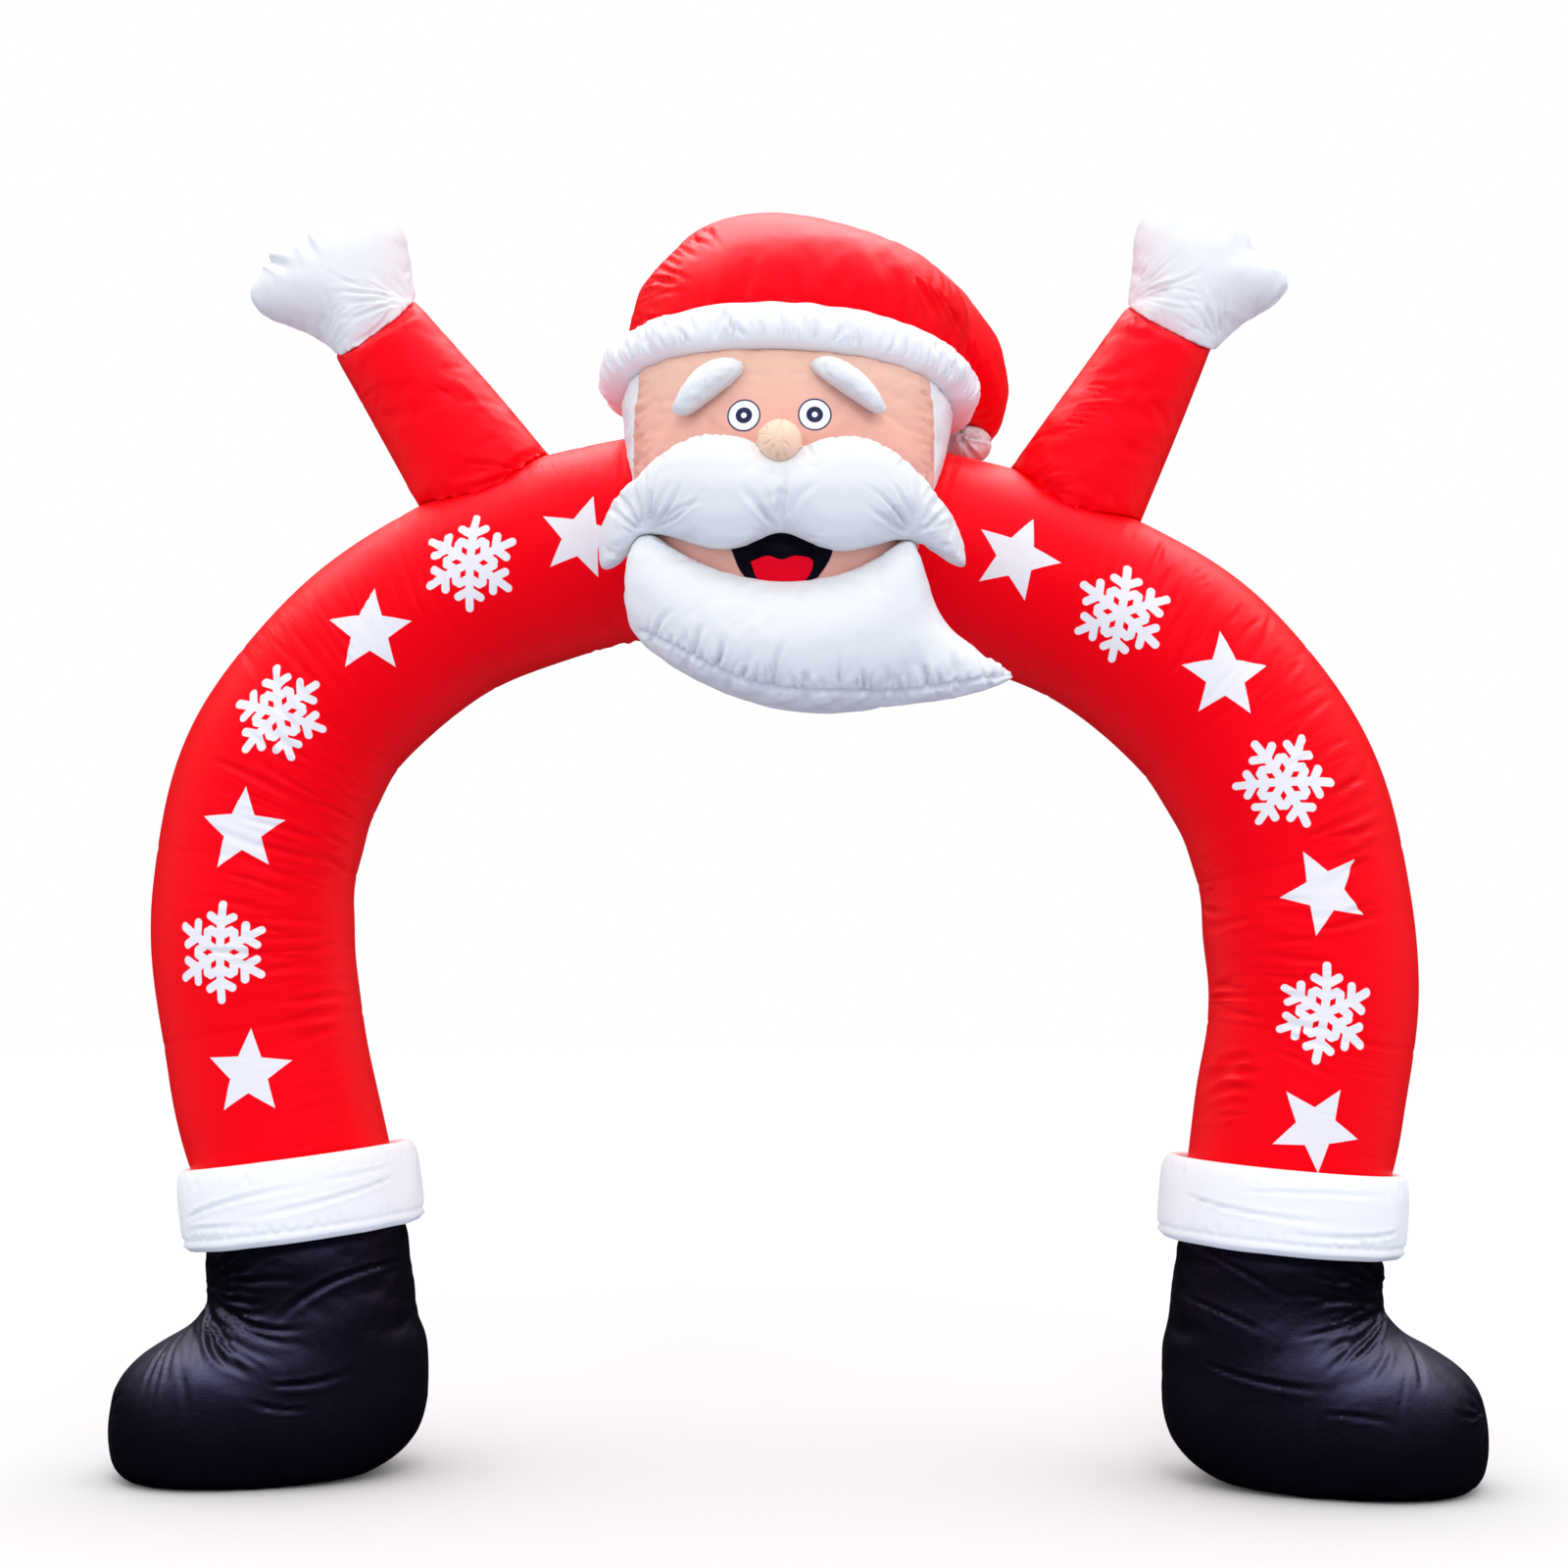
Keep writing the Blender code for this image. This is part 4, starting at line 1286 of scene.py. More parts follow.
        def shape(u: Array, v: Array) -> Array:
            """Wrap places round and along the tube, from its back and from its left foot.

            Args:
                u: shares of the way round.
                v: shares of the way along.

            Returns:
                The places as points.
            """
            index = np.rint(v * self.rings).astype(int)
            turn = (u - 0.5) * 2.0 * math.pi
            centre, radius = rows[index, :2], rows[index, 2]
            along, across = travelled[index], turn * radius
            radius = radius + self._lift(along, across, turn)
            out = radius * np.sin(turn)
            return np.column_stack((centre[:, 0] - heading[index, 1] * out,
                                    ARCH_Y - radius * np.cos(turn),
                                    centre[:, 1] + heading[index, 0] * out))

        mesh = roll("arch_tube_cloth", self.sides, self.rings, shape)
        self._place_prints(mesh, rows, travelled)
        sew_up(mesh, close_ends=True)
        piece = new_piece("arch_tube_cloth", mesh)
        material = RED.material("arch_tube_cloth", self.ink.paint, self.CLOTH_MAP)
        finish_piece(piece, RED, "arch_tube", material)

    def _lean_feet(self, heading: Array, travelled: Array) -> Array:
        """Turn the tube's last sections to lie level with the cuffs that hold them.

        Args:
            heading: direction of the centre line at each section.
            travelled: length along it.

        Returns:
            The directions with both feet turned.
        """
        left, right = (math.radians(angle) for angle in self.lean)
        total = travelled[-1]
        share_left = 1.0 - ramp(0.0, self.foot, travelled)
        share_right = 1.0 - ramp(0.0, self.foot, total - travelled)
        ends = (np.outer(share_left, (-math.sin(left), math.cos(left)))
                + np.outer(share_right, (-math.sin(right), -math.cos(right))))
        rest = (1.0 - share_left - share_right)[:, None]
        mixed = heading * rest + ends
        return mixed / np.linalg.norm(mixed, axis=1)[:, None]

    def _lift(self, along: Array, across: Array, turn: Array) -> Array:
        """How far the skin stands out from the plain round tube.

        Args:
            along: places along the tube.
            across: places round it, from the front.
            turn: the same as angles.

        Returns:
            The heights.
        """
        points, normals = unrolled(along, across)
        to_back = (math.pi - np.abs(turn)) * self.path[0][2]
        lift = lift_of(self.ripples, points, normals) * ramp(0.0, self.back_margin, to_back)
        wide, deep = self.SWELL_TURNS
        lift += swells(along, wide * np.sin(turn) + deep * np.cos(turn), self.SWELL_SIZE,
                       self.unevenness, self.seed)
        panel = np.mod(along / self.seam_pitch, 1.0)
        to_seam = np.minimum(panel, 1.0 - panel) * self.seam_pitch
        lift += self.bulge * np.sin(math.pi * panel) ** 2 - 0.5 * self.bulge
        lift -= self.seam_depth * np.exp(-(to_seam / self.seam_width) ** 2)
        inside = np.maximum(0.0, -np.sin(turn))
        wave = 0.5 - 0.5 * np.cos(2.0 * math.pi * along / self.inner_pitch)
        for middle, reach in self.inner_bends:
            lift -= (self.inner_depth * wave * inside
                     * np.exp(-((along - middle) / reach) ** 2))
        return lift

    def _place_prints(self, mesh: bpy.types.Mesh, rows: Array, travelled: Array) -> None:
        """Give each face near a motif its place in that motif's own square.

        Args:
            mesh: the unjoined grid, whose faces still lie in the grid's order.
            rows: centre line and radius.
            travelled: length along the centre line.
        """
        count = len(mesh.polygons)
        loops = np.empty(count * 4, np.int32)
        mesh.loops.foreach_get("vertex_index", loops)
        column, row = loops % (self.sides + 1), loops // (self.sides + 1)
        along = travelled[row]
        across = (column / self.sides - 0.5) * 2.0 * math.pi * rows[row, 2]
        face_along, face_across = along.reshape(-1, 4).mean(1), across.reshape(-1, 4).mean(1)
        kind = np.zeros(count, np.float32)
        place = np.full((count * 4, 2), 2.0 * self.cell)
        for item in self.prints:
            near = ((np.abs(face_along - item.along) < self.cell)
                    & (np.abs(face_across - item.across) < self.cell))
            kind[near] = item.motif.value
            corners = np.repeat(near, 4)
            cos, sin = math.cos(math.radians(item.turn)), math.sin(math.radians(item.turn))
            u, v = along[corners] - item.along, across[corners] - item.across
            place[corners, 0] = u * cos - v * sin
            place[corners, 1] = u * sin + v * cos
        for name, corners in ((PrintInk.PLACE, place),
                              (self.CLOTH_MAP, np.column_stack((along, across)))):
            layer = mesh.uv_layers.new(name=name)
            layer.data.foreach_set("uv", corners.astype(np.float32).ravel())
        attribute = mesh.attributes.new(PrintInk.KIND, "FLOAT", "FACE")
        attribute.data.foreach_set("value", kind)


@dataclass
class Hoop:
    """A filled ring of cloth: the hat's gathered band or a boot's cuff."""

    node: str
    cloth: Nylon
    centre: Point3
    half_width: float           # of the ring's middle line, along X
    half_depth: float           # and along Y
    half_thickness: float
    half_height: float
    squareness: float           # 2 is a round section, more is boxier
    pitch: float = 0.0          # degrees that the front is raised
    roll: float = 0.0           # degrees that the image's left is raised
    steps: int = 400
    sides: int = 44
    folds: tuple[Fold, ...] = ()    # along the ring from its front, and up from its middle
    unevenness: float = 0.0015
    lumps: float = 0.0          # height of lumps a few centimetres across
    fill: float = 1.0
    seed: int = 3

    SWELL_SIZE = 0.35
    LUMP_SIZE = 0.11
    BACK_SHARE = 0.10           # radians from the line along the back over which the folds run out
    SECTION_STEPS = 4001

    def build(self) -> None:
        """Make the ring."""
        mesh = roll(f"{self.node}_cloth", self.sides, self.steps, self._shape)
        sew_up(mesh)
        mesh.transform(Matrix.Translation(self.centre)
                       @ Matrix.Rotation(math.radians(self.roll), 4, "Y")
                       @ Matrix.Rotation(math.radians(-self.pitch), 4, "X"))
        piece = new_piece(f"{self.node}_cloth", mesh)
        finish_piece(piece, self.cloth, self.node)

    def _shape(self, u: Array, v: Array) -> Array:
        """Wrap the grid round the section and round the ring.

        Args:
            u: places round the section.
            v: places round the ring, from its back.

        Returns:
            The points round the origin.
        """
        turn = (v - 0.5) * 2.0 * math.pi
        out, up = self._section(u)
        arc = turn * 0.5 * (self.half_width + self.half_depth)
        outer = ramp(-0.15, 0.35, out)
        points, normals = unrolled(arc, up * self.half_height)
        lift = lift_of(self.folds, points, normals) * outer
        ends = ramp(0.0, self.BACK_SHARE, math.pi - np.abs(turn))
        place = np.sin(turn), np.cos(turn) + up * 0.1
        rough = swells(*place, self.SWELL_SIZE, self.unevenness, self.seed)
        rough += swells(*place, self.LUMP_SIZE, self.lumps, self.seed + 1)
        lift = lift * ends + rough * outer
        thick = out * self.half_thickness + lift * (0.4 + 0.6 * np.abs(out))
        high = up * (self.half_height + lift * np.abs(up) * 0.8)
        return np.column_stack(((self.half_width + thick) * np.sin(turn),
                                -(self.half_depth + thick) * np.cos(turn),
                                high))

    def _section(self, u: Array) -> tuple[Array, Array]:
        """Read even places round the ring's section.

        Args:
            u: places from 0 to 1 round it.

        Returns:
            How far out and up each place is, from -1 to 1.
        """
        angle = np.linspace(0.0, 2.0 * math.pi, self.SECTION_STEPS)
        cos, sin = np.cos(angle), np.sin(angle)
        power = 2.0 / self.squareness
        out = np.sign(cos) * np.abs(cos) ** power
        up = np.sign(sin) * np.abs(sin) ** power
        steps = np.hypot(np.diff(out * self.half_thickness), np.diff(up * self.half_height))
        travelled = np.concatenate(([0.0], np.cumsum(steps)))
        place = u * travelled[-1]
        return np.interp(place, travelled, out), np.interp(place, travelled, up)


@dataclass
class FacePatch:
    """A flat cloth shape sewn on the face: the open mouth's panel or the tongue."""

    node: str
    cloth: Nylon
    rim: tuple[Point2, ...]
    lift: float                     # how far its back stands off the face
    crumple: float                  # depth of its crumples
    crumple_size: float
    seed: int
    thickness: float = 0.0016
    rings: int = 26
    steps: int = 10                 # between two points of the rim

    RAY_START = -2.0                # a y in front of the face

    def build(self, face: bpy.types.Object) -> None:
        """Lay the patch on the face.

        Args:
            face: the finished face.
        """
        bpy.context.view_layer.update()
        evaluated = face.evaluated_get(bpy.context.evaluated_depsgraph_get())
        skin = BVHTree.FromObject(evaluated, bpy.context.evaluated_depsgraph_get())
        outline = smooth_path((*self.rim, self.rim[0]), len(self.rim) * self.steps + 1)
        middle = outline[:-1].mean(axis=0)

        def shape(u: Array, v: Array) -> Array:
            """Lay places round and out from the patch's middle on the skin.

            Args:
                u: shares of the way round.
                v: shares of the way out.

            Returns:
                The places as points.
            """
            index = np.rint(u * len(self.rim) * self.steps).astype(int)
            flat = middle + (outline[index] - middle) * v[:, None]
            bumps = swells(flat[:, 0], flat[:, 1], self.crumple_size, self.crumple, self.seed)
            bumps = (bumps + self.crumple) * ramp(0.0, 0.35, 1.0 - v)
            y = np.array([self._skin_y(skin, x, z) for x, z in flat])
            return np.column_stack((flat[:, 0], y - self.lift - bumps, flat[:, 1]))

        mesh = roll(f"{self.node}_cloth", len(self.rim) * self.steps, self.rings, shape)
        sew_up(mesh)
        piece = new_piece(f"{self.node}_cloth", mesh)
        self._thicken(mesh)
        finish_piece(piece, self.cloth, self.node)

    def _skin_y(self, skin: BVHTree, x: float, z: float) -> float:
        """Where the face's skin lies behind a place in the front view."""
        hit = skin.ray_cast(Vector((x, self.RAY_START, z)), Vector((0.0, 1.0, 0.0)))
        return hit[0].y

    @staticmethod
    def _area(outline: Array) -> float:
        """Area inside a closed outline."""
        x, z = outline[:-1, 0], outline[:-1, 1]
        return abs(0.5 * np.sum(x * np.roll(z, -1) - np.roll(x, -1) * z))

    def _thicken(self, mesh: bpy.types.Mesh) -> None:
        """Give the cloth its thickness, towards the viewer.

        Args:
            mesh: the cloth's single layer.
        """
        with edited(mesh) as bm:
            bm.normal_update()
            if sum(face.normal.y for face in bm.faces) > 0.0:
                bmesh.ops.reverse_faces(bm, faces=bm.faces)
            bmesh.ops.solidify(bm, geom=bm.faces[:], thickness=-self.thickness)
            bmesh.ops.recalc_face_normals(bm, faces=bm.faces)


@dataclass(frozen=True)
class PrintedEyes:
    """Plain round printed eyes on the front of the face, over painted reflected light: a pink tint
    that stands in for red light thrown onto the lower face.
    """

    beside: float = 0.085           # distance of each eye's middle from the face's middle
    height: float = 2.600
    # radius and colour of each disc, from the largest
    discs: tuple[tuple[float, Colour], ...] = (
        (0.0405, (0.035, 0.040, 0.110)),
        (0.0365, (0.86, 0.88, 0.92)),
        (0.0200, (0.012, 0.018, 0.070)),
        (0.0070, (0.86, 0.88, 0.92)),
    )
    # painted light: a pink tint, full on the cheeks and fading up to the forehead, that stands in for
    # red light reflected from the hat and the tube
    painted_red_bounce: Colour = (0.835, 0.435, 0.355)
    painted_red_bounce_heights: Point2 = (2.76, 2.54)        # from the plain forehead down to the full painted red bounce light on the cheeks
    edge: float = 0.0008

    def paint(self, nodes: Nodes, colour: object) -> object:
        """Paint the reflected red light on the lower face, then print the eyes over the cloth's
        colour.

        Args:
            nodes: the material's nodes.
            colour: the cloth's colour.

        Returns:
            The printed colour.
        """
        x, _, z = nodes.split(nodes.add("TexCoord").outputs["Object"])
        # painted reflected light: pink growing towards the cheeks, for red light thrown onto the face
        # by the hat and the tube
        colour = nodes.mix(nodes.rise(z, self.painted_red_bounce_heights, (0.0, 1.0)), colour, self.painted_red_bounce)
        across = nodes.math("SUBTRACT", nodes.math("ABSOLUTE", x), self.beside)
        radius = nodes.length(across, nodes.math("SUBTRACT", z, self.height))
        for size, ink in self.discs:
            inside = nodes.math("MULTIPLY", nodes.math("SUBTRACT", size, radius), 1.0 / self.edge)
            colour = nodes.mix(nodes.clamp(nodes.math("ADD", inside, 0.5)), colour, ink)
        return colour


# ---------------------------------------------------------------- studio
def aim(item: bpy.types.Object, place: Point3, target: Point3) -> None:
    """Put a light or the camera in its place and turn it to its target.

    Args:
        item: the light or camera.
        place: where it is.
        target: what it points at.
    """
    item.location = place
    item.rotation_euler = (Vector(target) - Vector(place)).to_track_quat("-Z", "Y").to_euler()
    bpy.context.scene.collection.objects.link(item)


@dataclass(frozen=True)
class Studio:
    """The pale floor, the soft light and the camera in front of the arch."""

    camera_place: Point3 = (0.3075, -6.3075, 1.20)
    camera_target: Point3 = (-0.0195, ARCH_Y, 1.7665)
    lens: float = 57.43
    sensor_width: float = 36.0      # millimetres, as the lens
    far_end: float = 200.0          # how far the camera sees
    floor_radius: float = 60.0
    floor_colour: Colour = (0.80, 0.805, 0.82)
    key_place: Point3 = (1.5, -9.0, 8.5)        # of the one soft light, high up in front
    key_target: Point3 = (0.0, 0.2, 1.8)
    key_size: float = 3.0
    key_power: float = 190.0
    backdrop: float = 1.0           # brightness of the white backdrop that is seen
    below: float = 0.74             # brightness of the light from below, from the side and above
    beside: float = 1.30
    above: float = 1.26
    floor_fade: Point2 = (-0.45, 0.25)          # heights of the sky between below and beside
    top_fade: Point2 = (0.25, 1.0)              # and between beside and above
    colour_fade: Point2 = (-0.45, 0.35)
    shine_heights: Point2 = (0.46, 1.0)
    shine_low: float = 0.0          # brightness that the cloth mirrors up to the first of them
    shine_high: float = 9.5         # and straight overhead
    low_colour: Colour = (0.80, 0.86, 1.05)     # light that comes up from the floor
    high_colour: Colour = (1.0, 0.995, 0.99)

    def build(self) -> None:
        """Add the floor, the lights and the camera."""
        self._floor()
        self._lights()
        self._camera()

    def _floor(self) -> None:
        """A wide pale floor."""
        mesh = bpy.data.meshes.new("floor")
        with edited(mesh) as bm:
            bmesh.ops.create_circle(bm, cap_ends=True, segments=96, radius=self.floor_radius)
        floor = bpy.data.objects.new("floor", mesh)
        bpy.context.scene.collection.objects.link(floor)
        material = bpy.data.materials.new("pale_floor")
        material.use_nodes = True
        shader = material.node_tree.nodes["Principled BSDF"]
        shader.inputs["Base Color"].default_value = opaque(self.floor_colour)
        shader.inputs["Roughness"].default_value = 0.9
        shader.inputs["Specular IOR Level"].default_value = 0.0
        mesh.materials.append(material)
        floor.visible_diffuse = False
        floor.visible_glossy = False

    def _lights(self) -> None:
        """White surroundings that are brighter overhead, and a soft light high up in front."""
        world = bpy.data.worlds.new("studio")
        nodes = Nodes(world)
        height = nodes.split(nodes.add("TexCoord").outputs["Generated"])[2]
        side = nodes.rise(height, self.floor_fade, (self.below, self.beside))
        top = nodes.rise(height, self.top_fade, (0.0, self.above - self.beside))
        soft = nodes.math("ADD", side, top)
        path = nodes.add("LightPath").outputs
        gloss = nodes.rise(height, self.shine_heights, (self.shine_low, self.shine_high))
        strength = self._either(nodes, path["Is Glossy Ray"], soft, gloss)
        strength = self._either(nodes, path["Is Camera Ray"], strength, self.backdrop)
        nodes.link(strength, nodes.shader.inputs["Strength"])
        colour = nodes.mix(nodes.rise(height, self.colour_fade, (0.0, 1.0)), self.low_colour,
                           self.high_colour)
        colour = nodes.mix(path["Is Camera Ray"], colour, (1.0, 1.0, 1.0))
        nodes.link(colour, nodes.shader.inputs["Color"])
        bpy.context.scene.world = world
        bpy.context.scene.view_settings.view_transform = "Standard"
        data = bpy.data.lights.new("key", "AREA")
        data.size = self.key_size
        data.energy = self.key_power
        aim(bpy.data.objects.new("key", data), self.key_place, self.key_target)

    @staticmethod
    def _either(nodes: Nodes, choice: object, first: object, second: object) -> object:
        """The first value where `choice` is 0 and the second where it is 1."""
        kept = nodes.math("MULTIPLY", nodes.math("SUBTRACT", 1.0, choice), first)
        return nodes.math("ADD", kept, nodes.math("MULTIPLY", choice, second))

    def _camera(self) -> None:
        """The camera at the photograph's angle."""
        data = bpy.data.cameras.new("camera")
        data.sensor_width = self.sensor_width
        data.lens = self.lens
        data.clip_end = self.far_end
        camera = bpy.data.objects.new("camera", data)
        aim(camera, self.camera_place, self.camera_target)
        bpy.context.scene.camera = camera


# ---------------------------------------------------------------- assembly
def cuff_folds(seed: int, *creases: Crease) -> tuple[Fold, ...]:
    """Put a cuff's folds together: its piped rim, its own creases and the tucks along both seams.

    Args:
        seed: picks the tucks.
        creases: the creases of this cuff alone.

    Returns:
        The folds.
    """
    low, high = (tuple((place, height) for place in (-0.90, 0.0, 0.90)) for height in (-0.073, 0.080))
    return (
        Piping(-0.087, 0.0050, -0.0055),
        Piping(-0.075, 0.0045, 0.0045),
        *creases,
        Gathers(low, 0.038, 0.045, 0.007, 0.0045, seed, 20.0, Side.ROUND),
        Gathers(high, 0.060, -0.040, 0.008, 0.0040, seed + 1, 30.0, Side.ROUND),
    )


@dataclass
class Leg:
    """One boot and the cuff round its top."""

    label: str
    side: int                       # -1 is the image's left
    cuff_centre: Point3
    cuff_lean: float                # outward lean in degrees
    boot_folds: tuple[Fold, ...]
    cuff_folds: tuple[Fold, ...]
    cuff_radius: float = 0.2843     # of the middle of the cuff's wall
    cuff_half_wall: float = 0.0277
    cuff_half_height: float = 0.104

    def boot(self) -> Blown:
        """The boot, ready to be blown up."""
        return Blown(f"boot_{self.label}", BLACK, 0.0155, folds=self.boot_folds, draw=0.0,
                     swell=0.003, wrinkle=0.8)

    def build_cuff(self) -> None:
        """Make the cuff."""
        # the cuff wears the lighter copy of the white nylon, painted light for the extra light near
        # the floor
        Hoop(f"cuff_{self.label}", PAINTED_LIT_WHITE, self.cuff_centre, self.cuff_radius, self.cuff_radius,
             self.cuff_half_wall, self.cuff_half_height, 2.8, roll=self.side * self.cuff_lean,
             steps=260, sides=70, folds=self.cuff_folds).build()


LEGS = (
    Leg("left", -1, (-1.274, ARCH_Y, 0.702), 7.5,
        boot_folds=(
            Fan((-1.545, 0.470), (-46.0, 30.0), (0.070, 0.370), 17, 0.0068, 0.0076, 41),
            Gathers(((-1.440, 0.600), (-1.430, 0.520), (-1.440, 0.420), (-1.450, 0.350)), 0.026,
                    0.190, 0.0066, 0.0066, 49, 12.0, slant=-6.0),
            Fan((-1.550, 0.440), (-100.0, -50.0), (0.070, 0.240), 8, 0.0085, 0.0022, 47),
            Crease((-1.010, 0.540), (-1.290, 0.385), 0.0090, 0.0070, -0.030),
            Crease((-1.260, 0.262), (-1.080, 0.285), 0.0075, 0.0050, -0.010),
            Crease((-1.180, 0.200), (-1.330, 0.232), 0.0070, 0.0040, 0.010),
            Fan((-1.715, 0.180), (-60.0, 60.0), (0.010, 0.090), 5, 0.0065, 0.0035, 42),
            Fan((-1.500, 0.440), (-60.0, 30.0), (0.020, 0.300), 11, 0.0095, 0.0080, 43, Side.BACK),
        ),
        cuff_folds=cuff_folds(
            51,
            Crease((-0.26, -0.012), (0.10, 0.034), 0.0060, 0.0075, 0.010, Side.ROUND),
            Crease((0.30, 0.020), (-0.08, -0.028), 0.0065, 0.0085, 0.008, Side.ROUND),
            Crease((-0.26, -0.046), (-0.04, -0.052), 0.0060, 0.0065, 0.006, Side.ROUND),
            Crease((0.30, 0.050), (0.10, 0.040), 0.0060, 0.0050, 0.004, Side.ROUND),
        )),
    Leg("right", 1, (1.250, ARCH_Y, 0.685), 5.0,
        boot_folds=(
            Fan((1.535, 0.455), (136.0, 214.0), (0.060, 0.330), 19, 0.0068, 0.0080, 44),
            Gathers(((1.440, 0.380), (1.420, 0.450), (1.410, 0.520), (1.420, 0.590)), 0.028,
                    0.180, 0.0066, 0.0066, 50, 14.0, slant=8.0),
            Fan((1.540, 0.430), (222.0, 276.0), (0.080, 0.240), 8, 0.0085, 0.0026, 48),
            Crease((1.000, 0.600), (1.240, 0.470), 0.0065, 0.0040, 0.004),
            Crease((0.985, 0.470), (1.180, 0.390), 0.0065, 0.0035, 0.004),
            Crease((1.040, 0.310), (1.330, 0.270), 0.0075, 0.0045, -0.012),
            Crease((1.300, 0.215), (1.480, 0.190), 0.0070, 0.0035, 0.008),
            Fan((1.715, 0.200), (125.0, 235.0), (0.010, 0.100), 6, 0.0065, 0.0050, 45),
            Fan((1.480, 0.435), (150.0, 245.0), (0.020, 0.290), 11, 0.0095, 0.0080, 46, Side.BACK),
        ),
        cuff_folds=cuff_folds(
            53,
            Crease((-0.28, 0.014), (0.10, -0.012), 0.0060, 0.0075, -0.010, Side.ROUND),
            Crease((0.28, -0.030), (-0.06, -0.048), 0.0065, 0.0075, 0.008, Side.ROUND),
            Crease((-0.12, 0.044), (0.24, 0.056), 0.0060, 0.0060, 0.006, Side.ROUND),
        )),
)

# short creases between the finger lobes and at the wrist of each mitten
MITTEN_FOLDS = {
    "left": (
        Crease((-1.412, 3.180), (-1.310, 3.120), 0.013, 0.013, 0.0, Side.ROUND),
        Crease((-1.306, 3.245), (-1.245, 3.140), 0.013, 0.014, 0.0, Side.ROUND),
        Crease((-1.178, 3.288), (-1.165, 3.190), 0.012, 0.010, 0.0, Side.ROUND),
        Fan((-1.000, 3.050), (162.0, 216.0), (0.040, 0.250), 13, 0.0050, 0.0030, 91),
        Fan((-1.240, 2.930), (20.0, 70.0), (0.030, 0.120), 6, 0.0050, 0.0026, 92),
        Gathers(((-1.240, 2.960), (-1.130, 3.000), (-1.010, 3.060)), 0.034, 0.060, 0.008, 0.006,
                95, 22.0, Side.BACK),
    ),
    "right": (
        Crease((1.018, 3.280), (1.032, 3.190), 0.013, 0.013, 0.0, Side.ROUND),
        Crease((1.150, 3.262), (1.118, 3.170), 0.013, 0.008, 0.0, Side.ROUND),
        Fan((0.880, 3.030), (-16.0, 54.0), (0.040, 0.240), 13, 0.0050, 0.0030, 93),
        Fan((1.125, 2.900), (74.0, 150.0), (0.030, 0.180), 10, 0.0050, 0.0028, 94),
        Gathers(((0.885, 3.040), (0.990, 3.000), (1.110, 2.940)), 0.034, 0.060, 0.008, 0.006,
                96, 22.0, Side.BACK),
    ),
}

# small creases where the sleeves bend and where they are sewn to the tube and to the mittens
SLEEVE_FOLDS = {
    "left": (
        Fan((-0.680, 2.570), (160.0, 235.0), (0.030, 0.200), 10, 0.0060, 0.0036, 101),
        Fan((-1.010, 3.020), (190.0, 262.0), (0.030, 0.170), 9, 0.0055, 0.0030, 102),
        Crease((-1.190, 2.770), (-1.000, 2.800), 0.0065, 0.0028, 0.010),
        Crease((-0.930, 2.800), (-0.850, 2.740), 0.0060, 0.0026, 0.004),
    ),
    "right": (
        Fan((0.600, 2.515), (-24.0, 44.0), (0.030, 0.200), 11, 0.0058, 0.0040, 103),
        Gathers(((0.700, 2.660), (0.740, 2.720), (0.780, 2.790)), 0.018, -0.110, 0.0055, 0.0038,
                104, 18.0, slant=14.0),
        Fan((0.880, 3.020), (-84.0, -10.0), (0.030, 0.160), 8, 0.0055, 0.0030, 105),
    ),
}


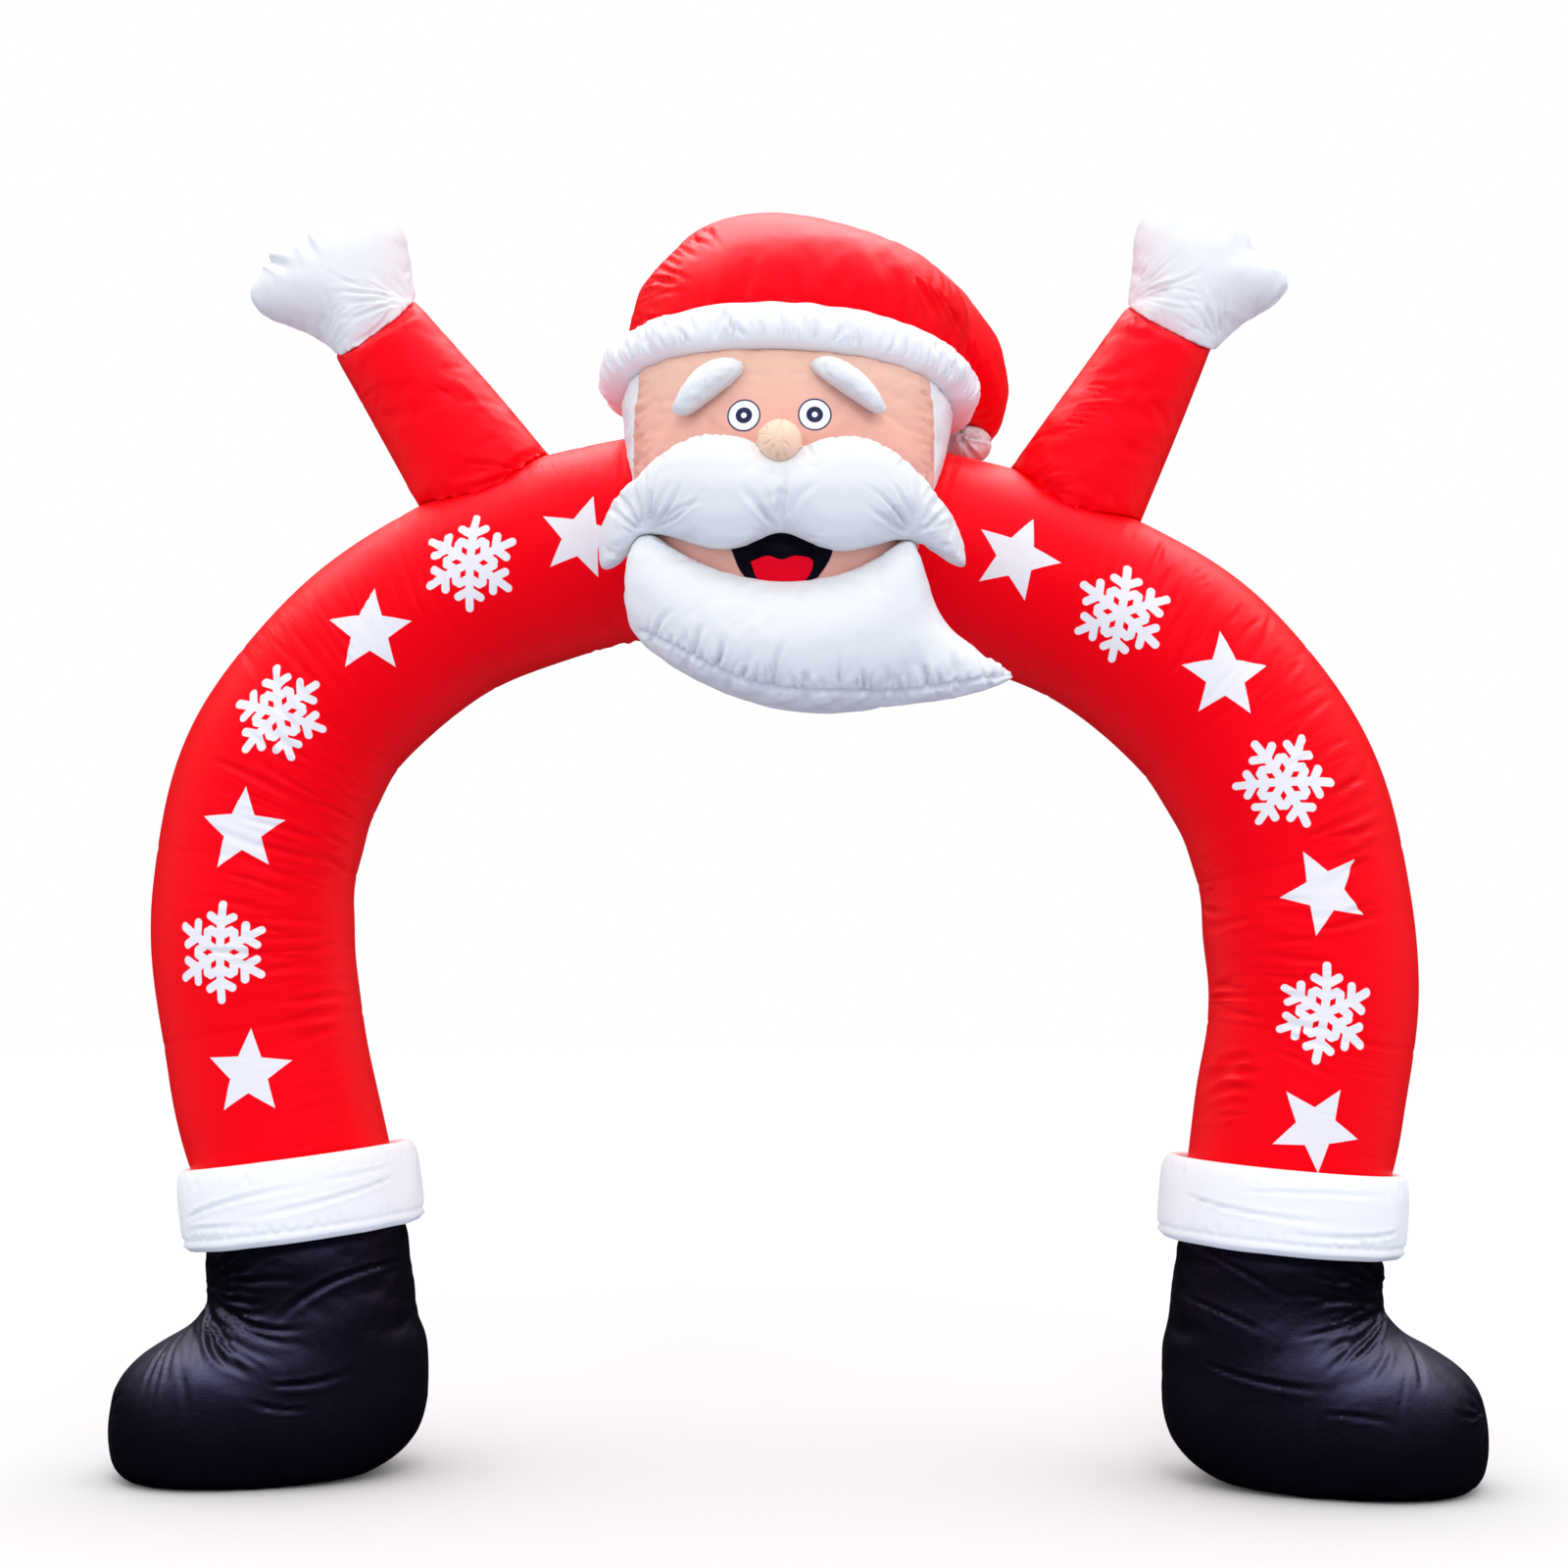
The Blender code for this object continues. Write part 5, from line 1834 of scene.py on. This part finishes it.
@dataclass
class Head:
    """The face with its features, the hair and the hat."""

    eyes: PrintedEyes = field(default_factory=PrintedEyes)
    band_centre: Point3 = (0.0, 0.0464, 2.780)
    band_half: Point2 = (0.430, 0.440)
    band_radius: float = 0.058
    band_tilt: Point2 = (6.0, 2.5)  # pitch and roll in degrees
    # rims seen from the front: x, z
    mouth_rim: tuple[Point2, ...] = (
        (-0.118, 2.284), (-0.060, 2.320), (0.004, 2.338), (0.070, 2.320), (0.126, 2.284),
        (0.098, 2.222), (0.050, 2.188), (-0.040, 2.188), (-0.090, 2.222),
    )
    tongue_rim: tuple[Point2, ...] = (
        (-0.070, 2.248), (-0.030, 2.261), (0.005, 2.252), (0.040, 2.261), (0.080, 2.248),
        (0.052, 2.199), (-0.042, 2.199),
    )

    BEARD_SEAM = (
        (-0.335, 2.084), (-0.116, 1.969), (0.012, 1.936), (0.150, 1.930), (0.334, 1.941),
        (0.557, 1.979),
    )

    def cloth(self) -> list[Blown]:
        """List the pieces that are blown up.

        Returns:
            The face, hair, crown, moustache, beard, nose, brows and pompom.
        """
        return [
            Blown("face", SKIN, 0.009, level=0, swell=0.005, draw=0.0, paint=self.eyes.paint, folds=(
                Gathers(((-0.350, 2.440), (-0.383, 2.560), (-0.392, 2.740)), 0.020, -0.075, 0.0055,
                        0.0085, 66, 16.0),
                Gathers(((0.350, 2.440), (0.381, 2.560), (0.386, 2.740)), 0.020, 0.075, 0.0055,
                        0.0085, 67, 16.0),
            )),
            Blown("hair", WHITE, 0.014, level=0, draw=0.02, folds=(
                Gathers(((-0.405, 2.440), (-0.425, 2.560), (-0.430, 2.740)), 0.022, -0.060, 0.0060,
                        0.0060, 73, 16.0),
                Gathers(((0.405, 2.440), (0.425, 2.560), (0.428, 2.740)), 0.022, 0.060, 0.0060,
                        0.0060, 74, 16.0),
            )),
            Blown("hat_crown", RED, 0.0155, draw=0.02, folds=(
                Gathers(((-0.395, 2.900), (-0.350, 3.020), (-0.275, 3.110), (-0.190, 3.165)),
                        0.022, -0.150, 0.0065, 0.0058, 68, 16.0),
                Gathers(((0.320, 2.985), (0.400, 2.955), (0.480, 2.900)), 0.024, -0.150, 0.0070,
                        0.0078, 69, 14.0, slant=48.0),
                Gathers(((0.480, 2.900), (0.530, 2.850), (0.545, 2.780)), 0.034, -0.110, 0.0070,
                        0.0030, 70, 14.0, slant=20.0),
            )),
            Blown("moustache", WHITE, 0.0105, draw=0.04, folds=(
                Fan((0.004, 2.300), (50.0, 130.0), (0.030, 0.170), 8, 0.0075, 0.0062, 61),
                Fan((-0.320, 2.315), (20.0, 150.0), (0.025, 0.170), 14, 0.0062, 0.0058, 62),
                Fan((0.325, 2.305), (30.0, 160.0), (0.025, 0.170), 14, 0.0062, 0.0058, 63),
                Gathers(((-0.300, 2.500), (-0.180, 2.552), (-0.040, 2.520)), 0.030, -0.060, 0.006,
                        0.0035, 75, 22.0),
                Gathers(((0.050, 2.515), (0.190, 2.545), (0.310, 2.490)), 0.030, -0.060, 0.006,
                        0.0035, 76, 22.0),
            )),
            Blown("beard", WHITE, 0.012, draw=0.03, folds=(
                Seam(self.BEARD_SEAM, 0.0050, 0.0095),
                Gathers(self.BEARD_SEAM, 0.064, 0.115, 0.0085, 0.0115, 65),
                Gathers(self.BEARD_SEAM, 0.034, 0.060, 0.0060, 0.0070, 64, 18.0),
                Gathers(self.BEARD_SEAM, 0.060, -0.045, 0.0080, 0.0060, 60),
            )),
            Blown("nose", NOSE, 0.0055, draw=0.04, folds=(
                Fan((0.004, 2.522), (120.0, 320.0), (0.022, 0.060), 8, 0.0035, 0.0030, 59),
                Crease((0.010, 2.580), (-0.006, 2.500), 0.0040, 0.0035, 0.004),
            )),
            Blown("brow_left", WHITE, 0.0075, draw=0.02),
            Blown("brow_right", WHITE, 0.0075, draw=0.02),
            Blown("pompom", WHITE, 0.0065, draw=0.04, swell=0.004, folds=(
                Fan((0.440, 2.700), (-70.0, 80.0), (0.008, 0.110), 12, 0.0055, 0.0075, 77),
                Fan((0.485, 2.730), (190.0, 340.0), (0.010, 0.080), 9, 0.0050, 0.0060, 78),
            )),
        ]

    def build_band(self) -> None:
        """Make the hat's gathered band."""
        turn = 2.0 * math.pi * self.band_half[0]
        top, bottom = (tuple((share * turn, height) for share in (-0.5, 0.0, 0.5))
                       for height in (0.040, -0.040))
        # the band wears the lighter copy of the white nylon, painted light that brightens its front
        Hoop("hat_band", PAINTED_LIT_WHITE, self.band_centre, *self.band_half, self.band_radius,
             self.band_radius, 2.0, *self.band_tilt, steps=520, sides=56, lumps=0.0026, folds=(
                 Gathers(top, 0.044, -0.095, 0.0078, 0.0130, 71, 26.0, Side.ROUND, 12.0),
                 Gathers(bottom, 0.040, 0.085, 0.0070, 0.0115, 72, 26.0, Side.ROUND, 12.0),
             )).build()

    def build_mouth(self) -> None:
        """Sew the mouth panel and the tongue on the finished face."""
        face = bpy.data.objects["face_cloth"]
        FacePatch("mouth_panel", BLACK, self.mouth_rim, 0.0006, 0.0022, 0.045, 81).build(face)
        FacePatch("tongue", TONGUE, self.tongue_rim, 0.0058, 0.0012, 0.040, 82).build(face)


def main() -> None:
    """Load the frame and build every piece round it."""
    logging.basicConfig(level=logging.INFO, format="%(name)s: %(message)s")
    FRAME.update(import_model())
    Studio().build()
    head = Head()
    blow_up([
        *(leg.boot() for leg in LEGS),
        *(Blown(f"sleeve_{label}", RED, 0.0160, draw=0.05, folds=folds)
          for label, folds in SLEEVE_FOLDS.items()),
        *(Blown(f"mitten_{label}", WHITE, 0.0105, draw=0.03, folds=folds)
          for label, folds in MITTEN_FOLDS.items()),
        *head.cloth(),
    ])
    ArchTube().build()
    for leg in LEGS:
        leg.build_cuff()
    head.build_band()
    head.build_mouth()


if __name__ == "__main__":
    main()
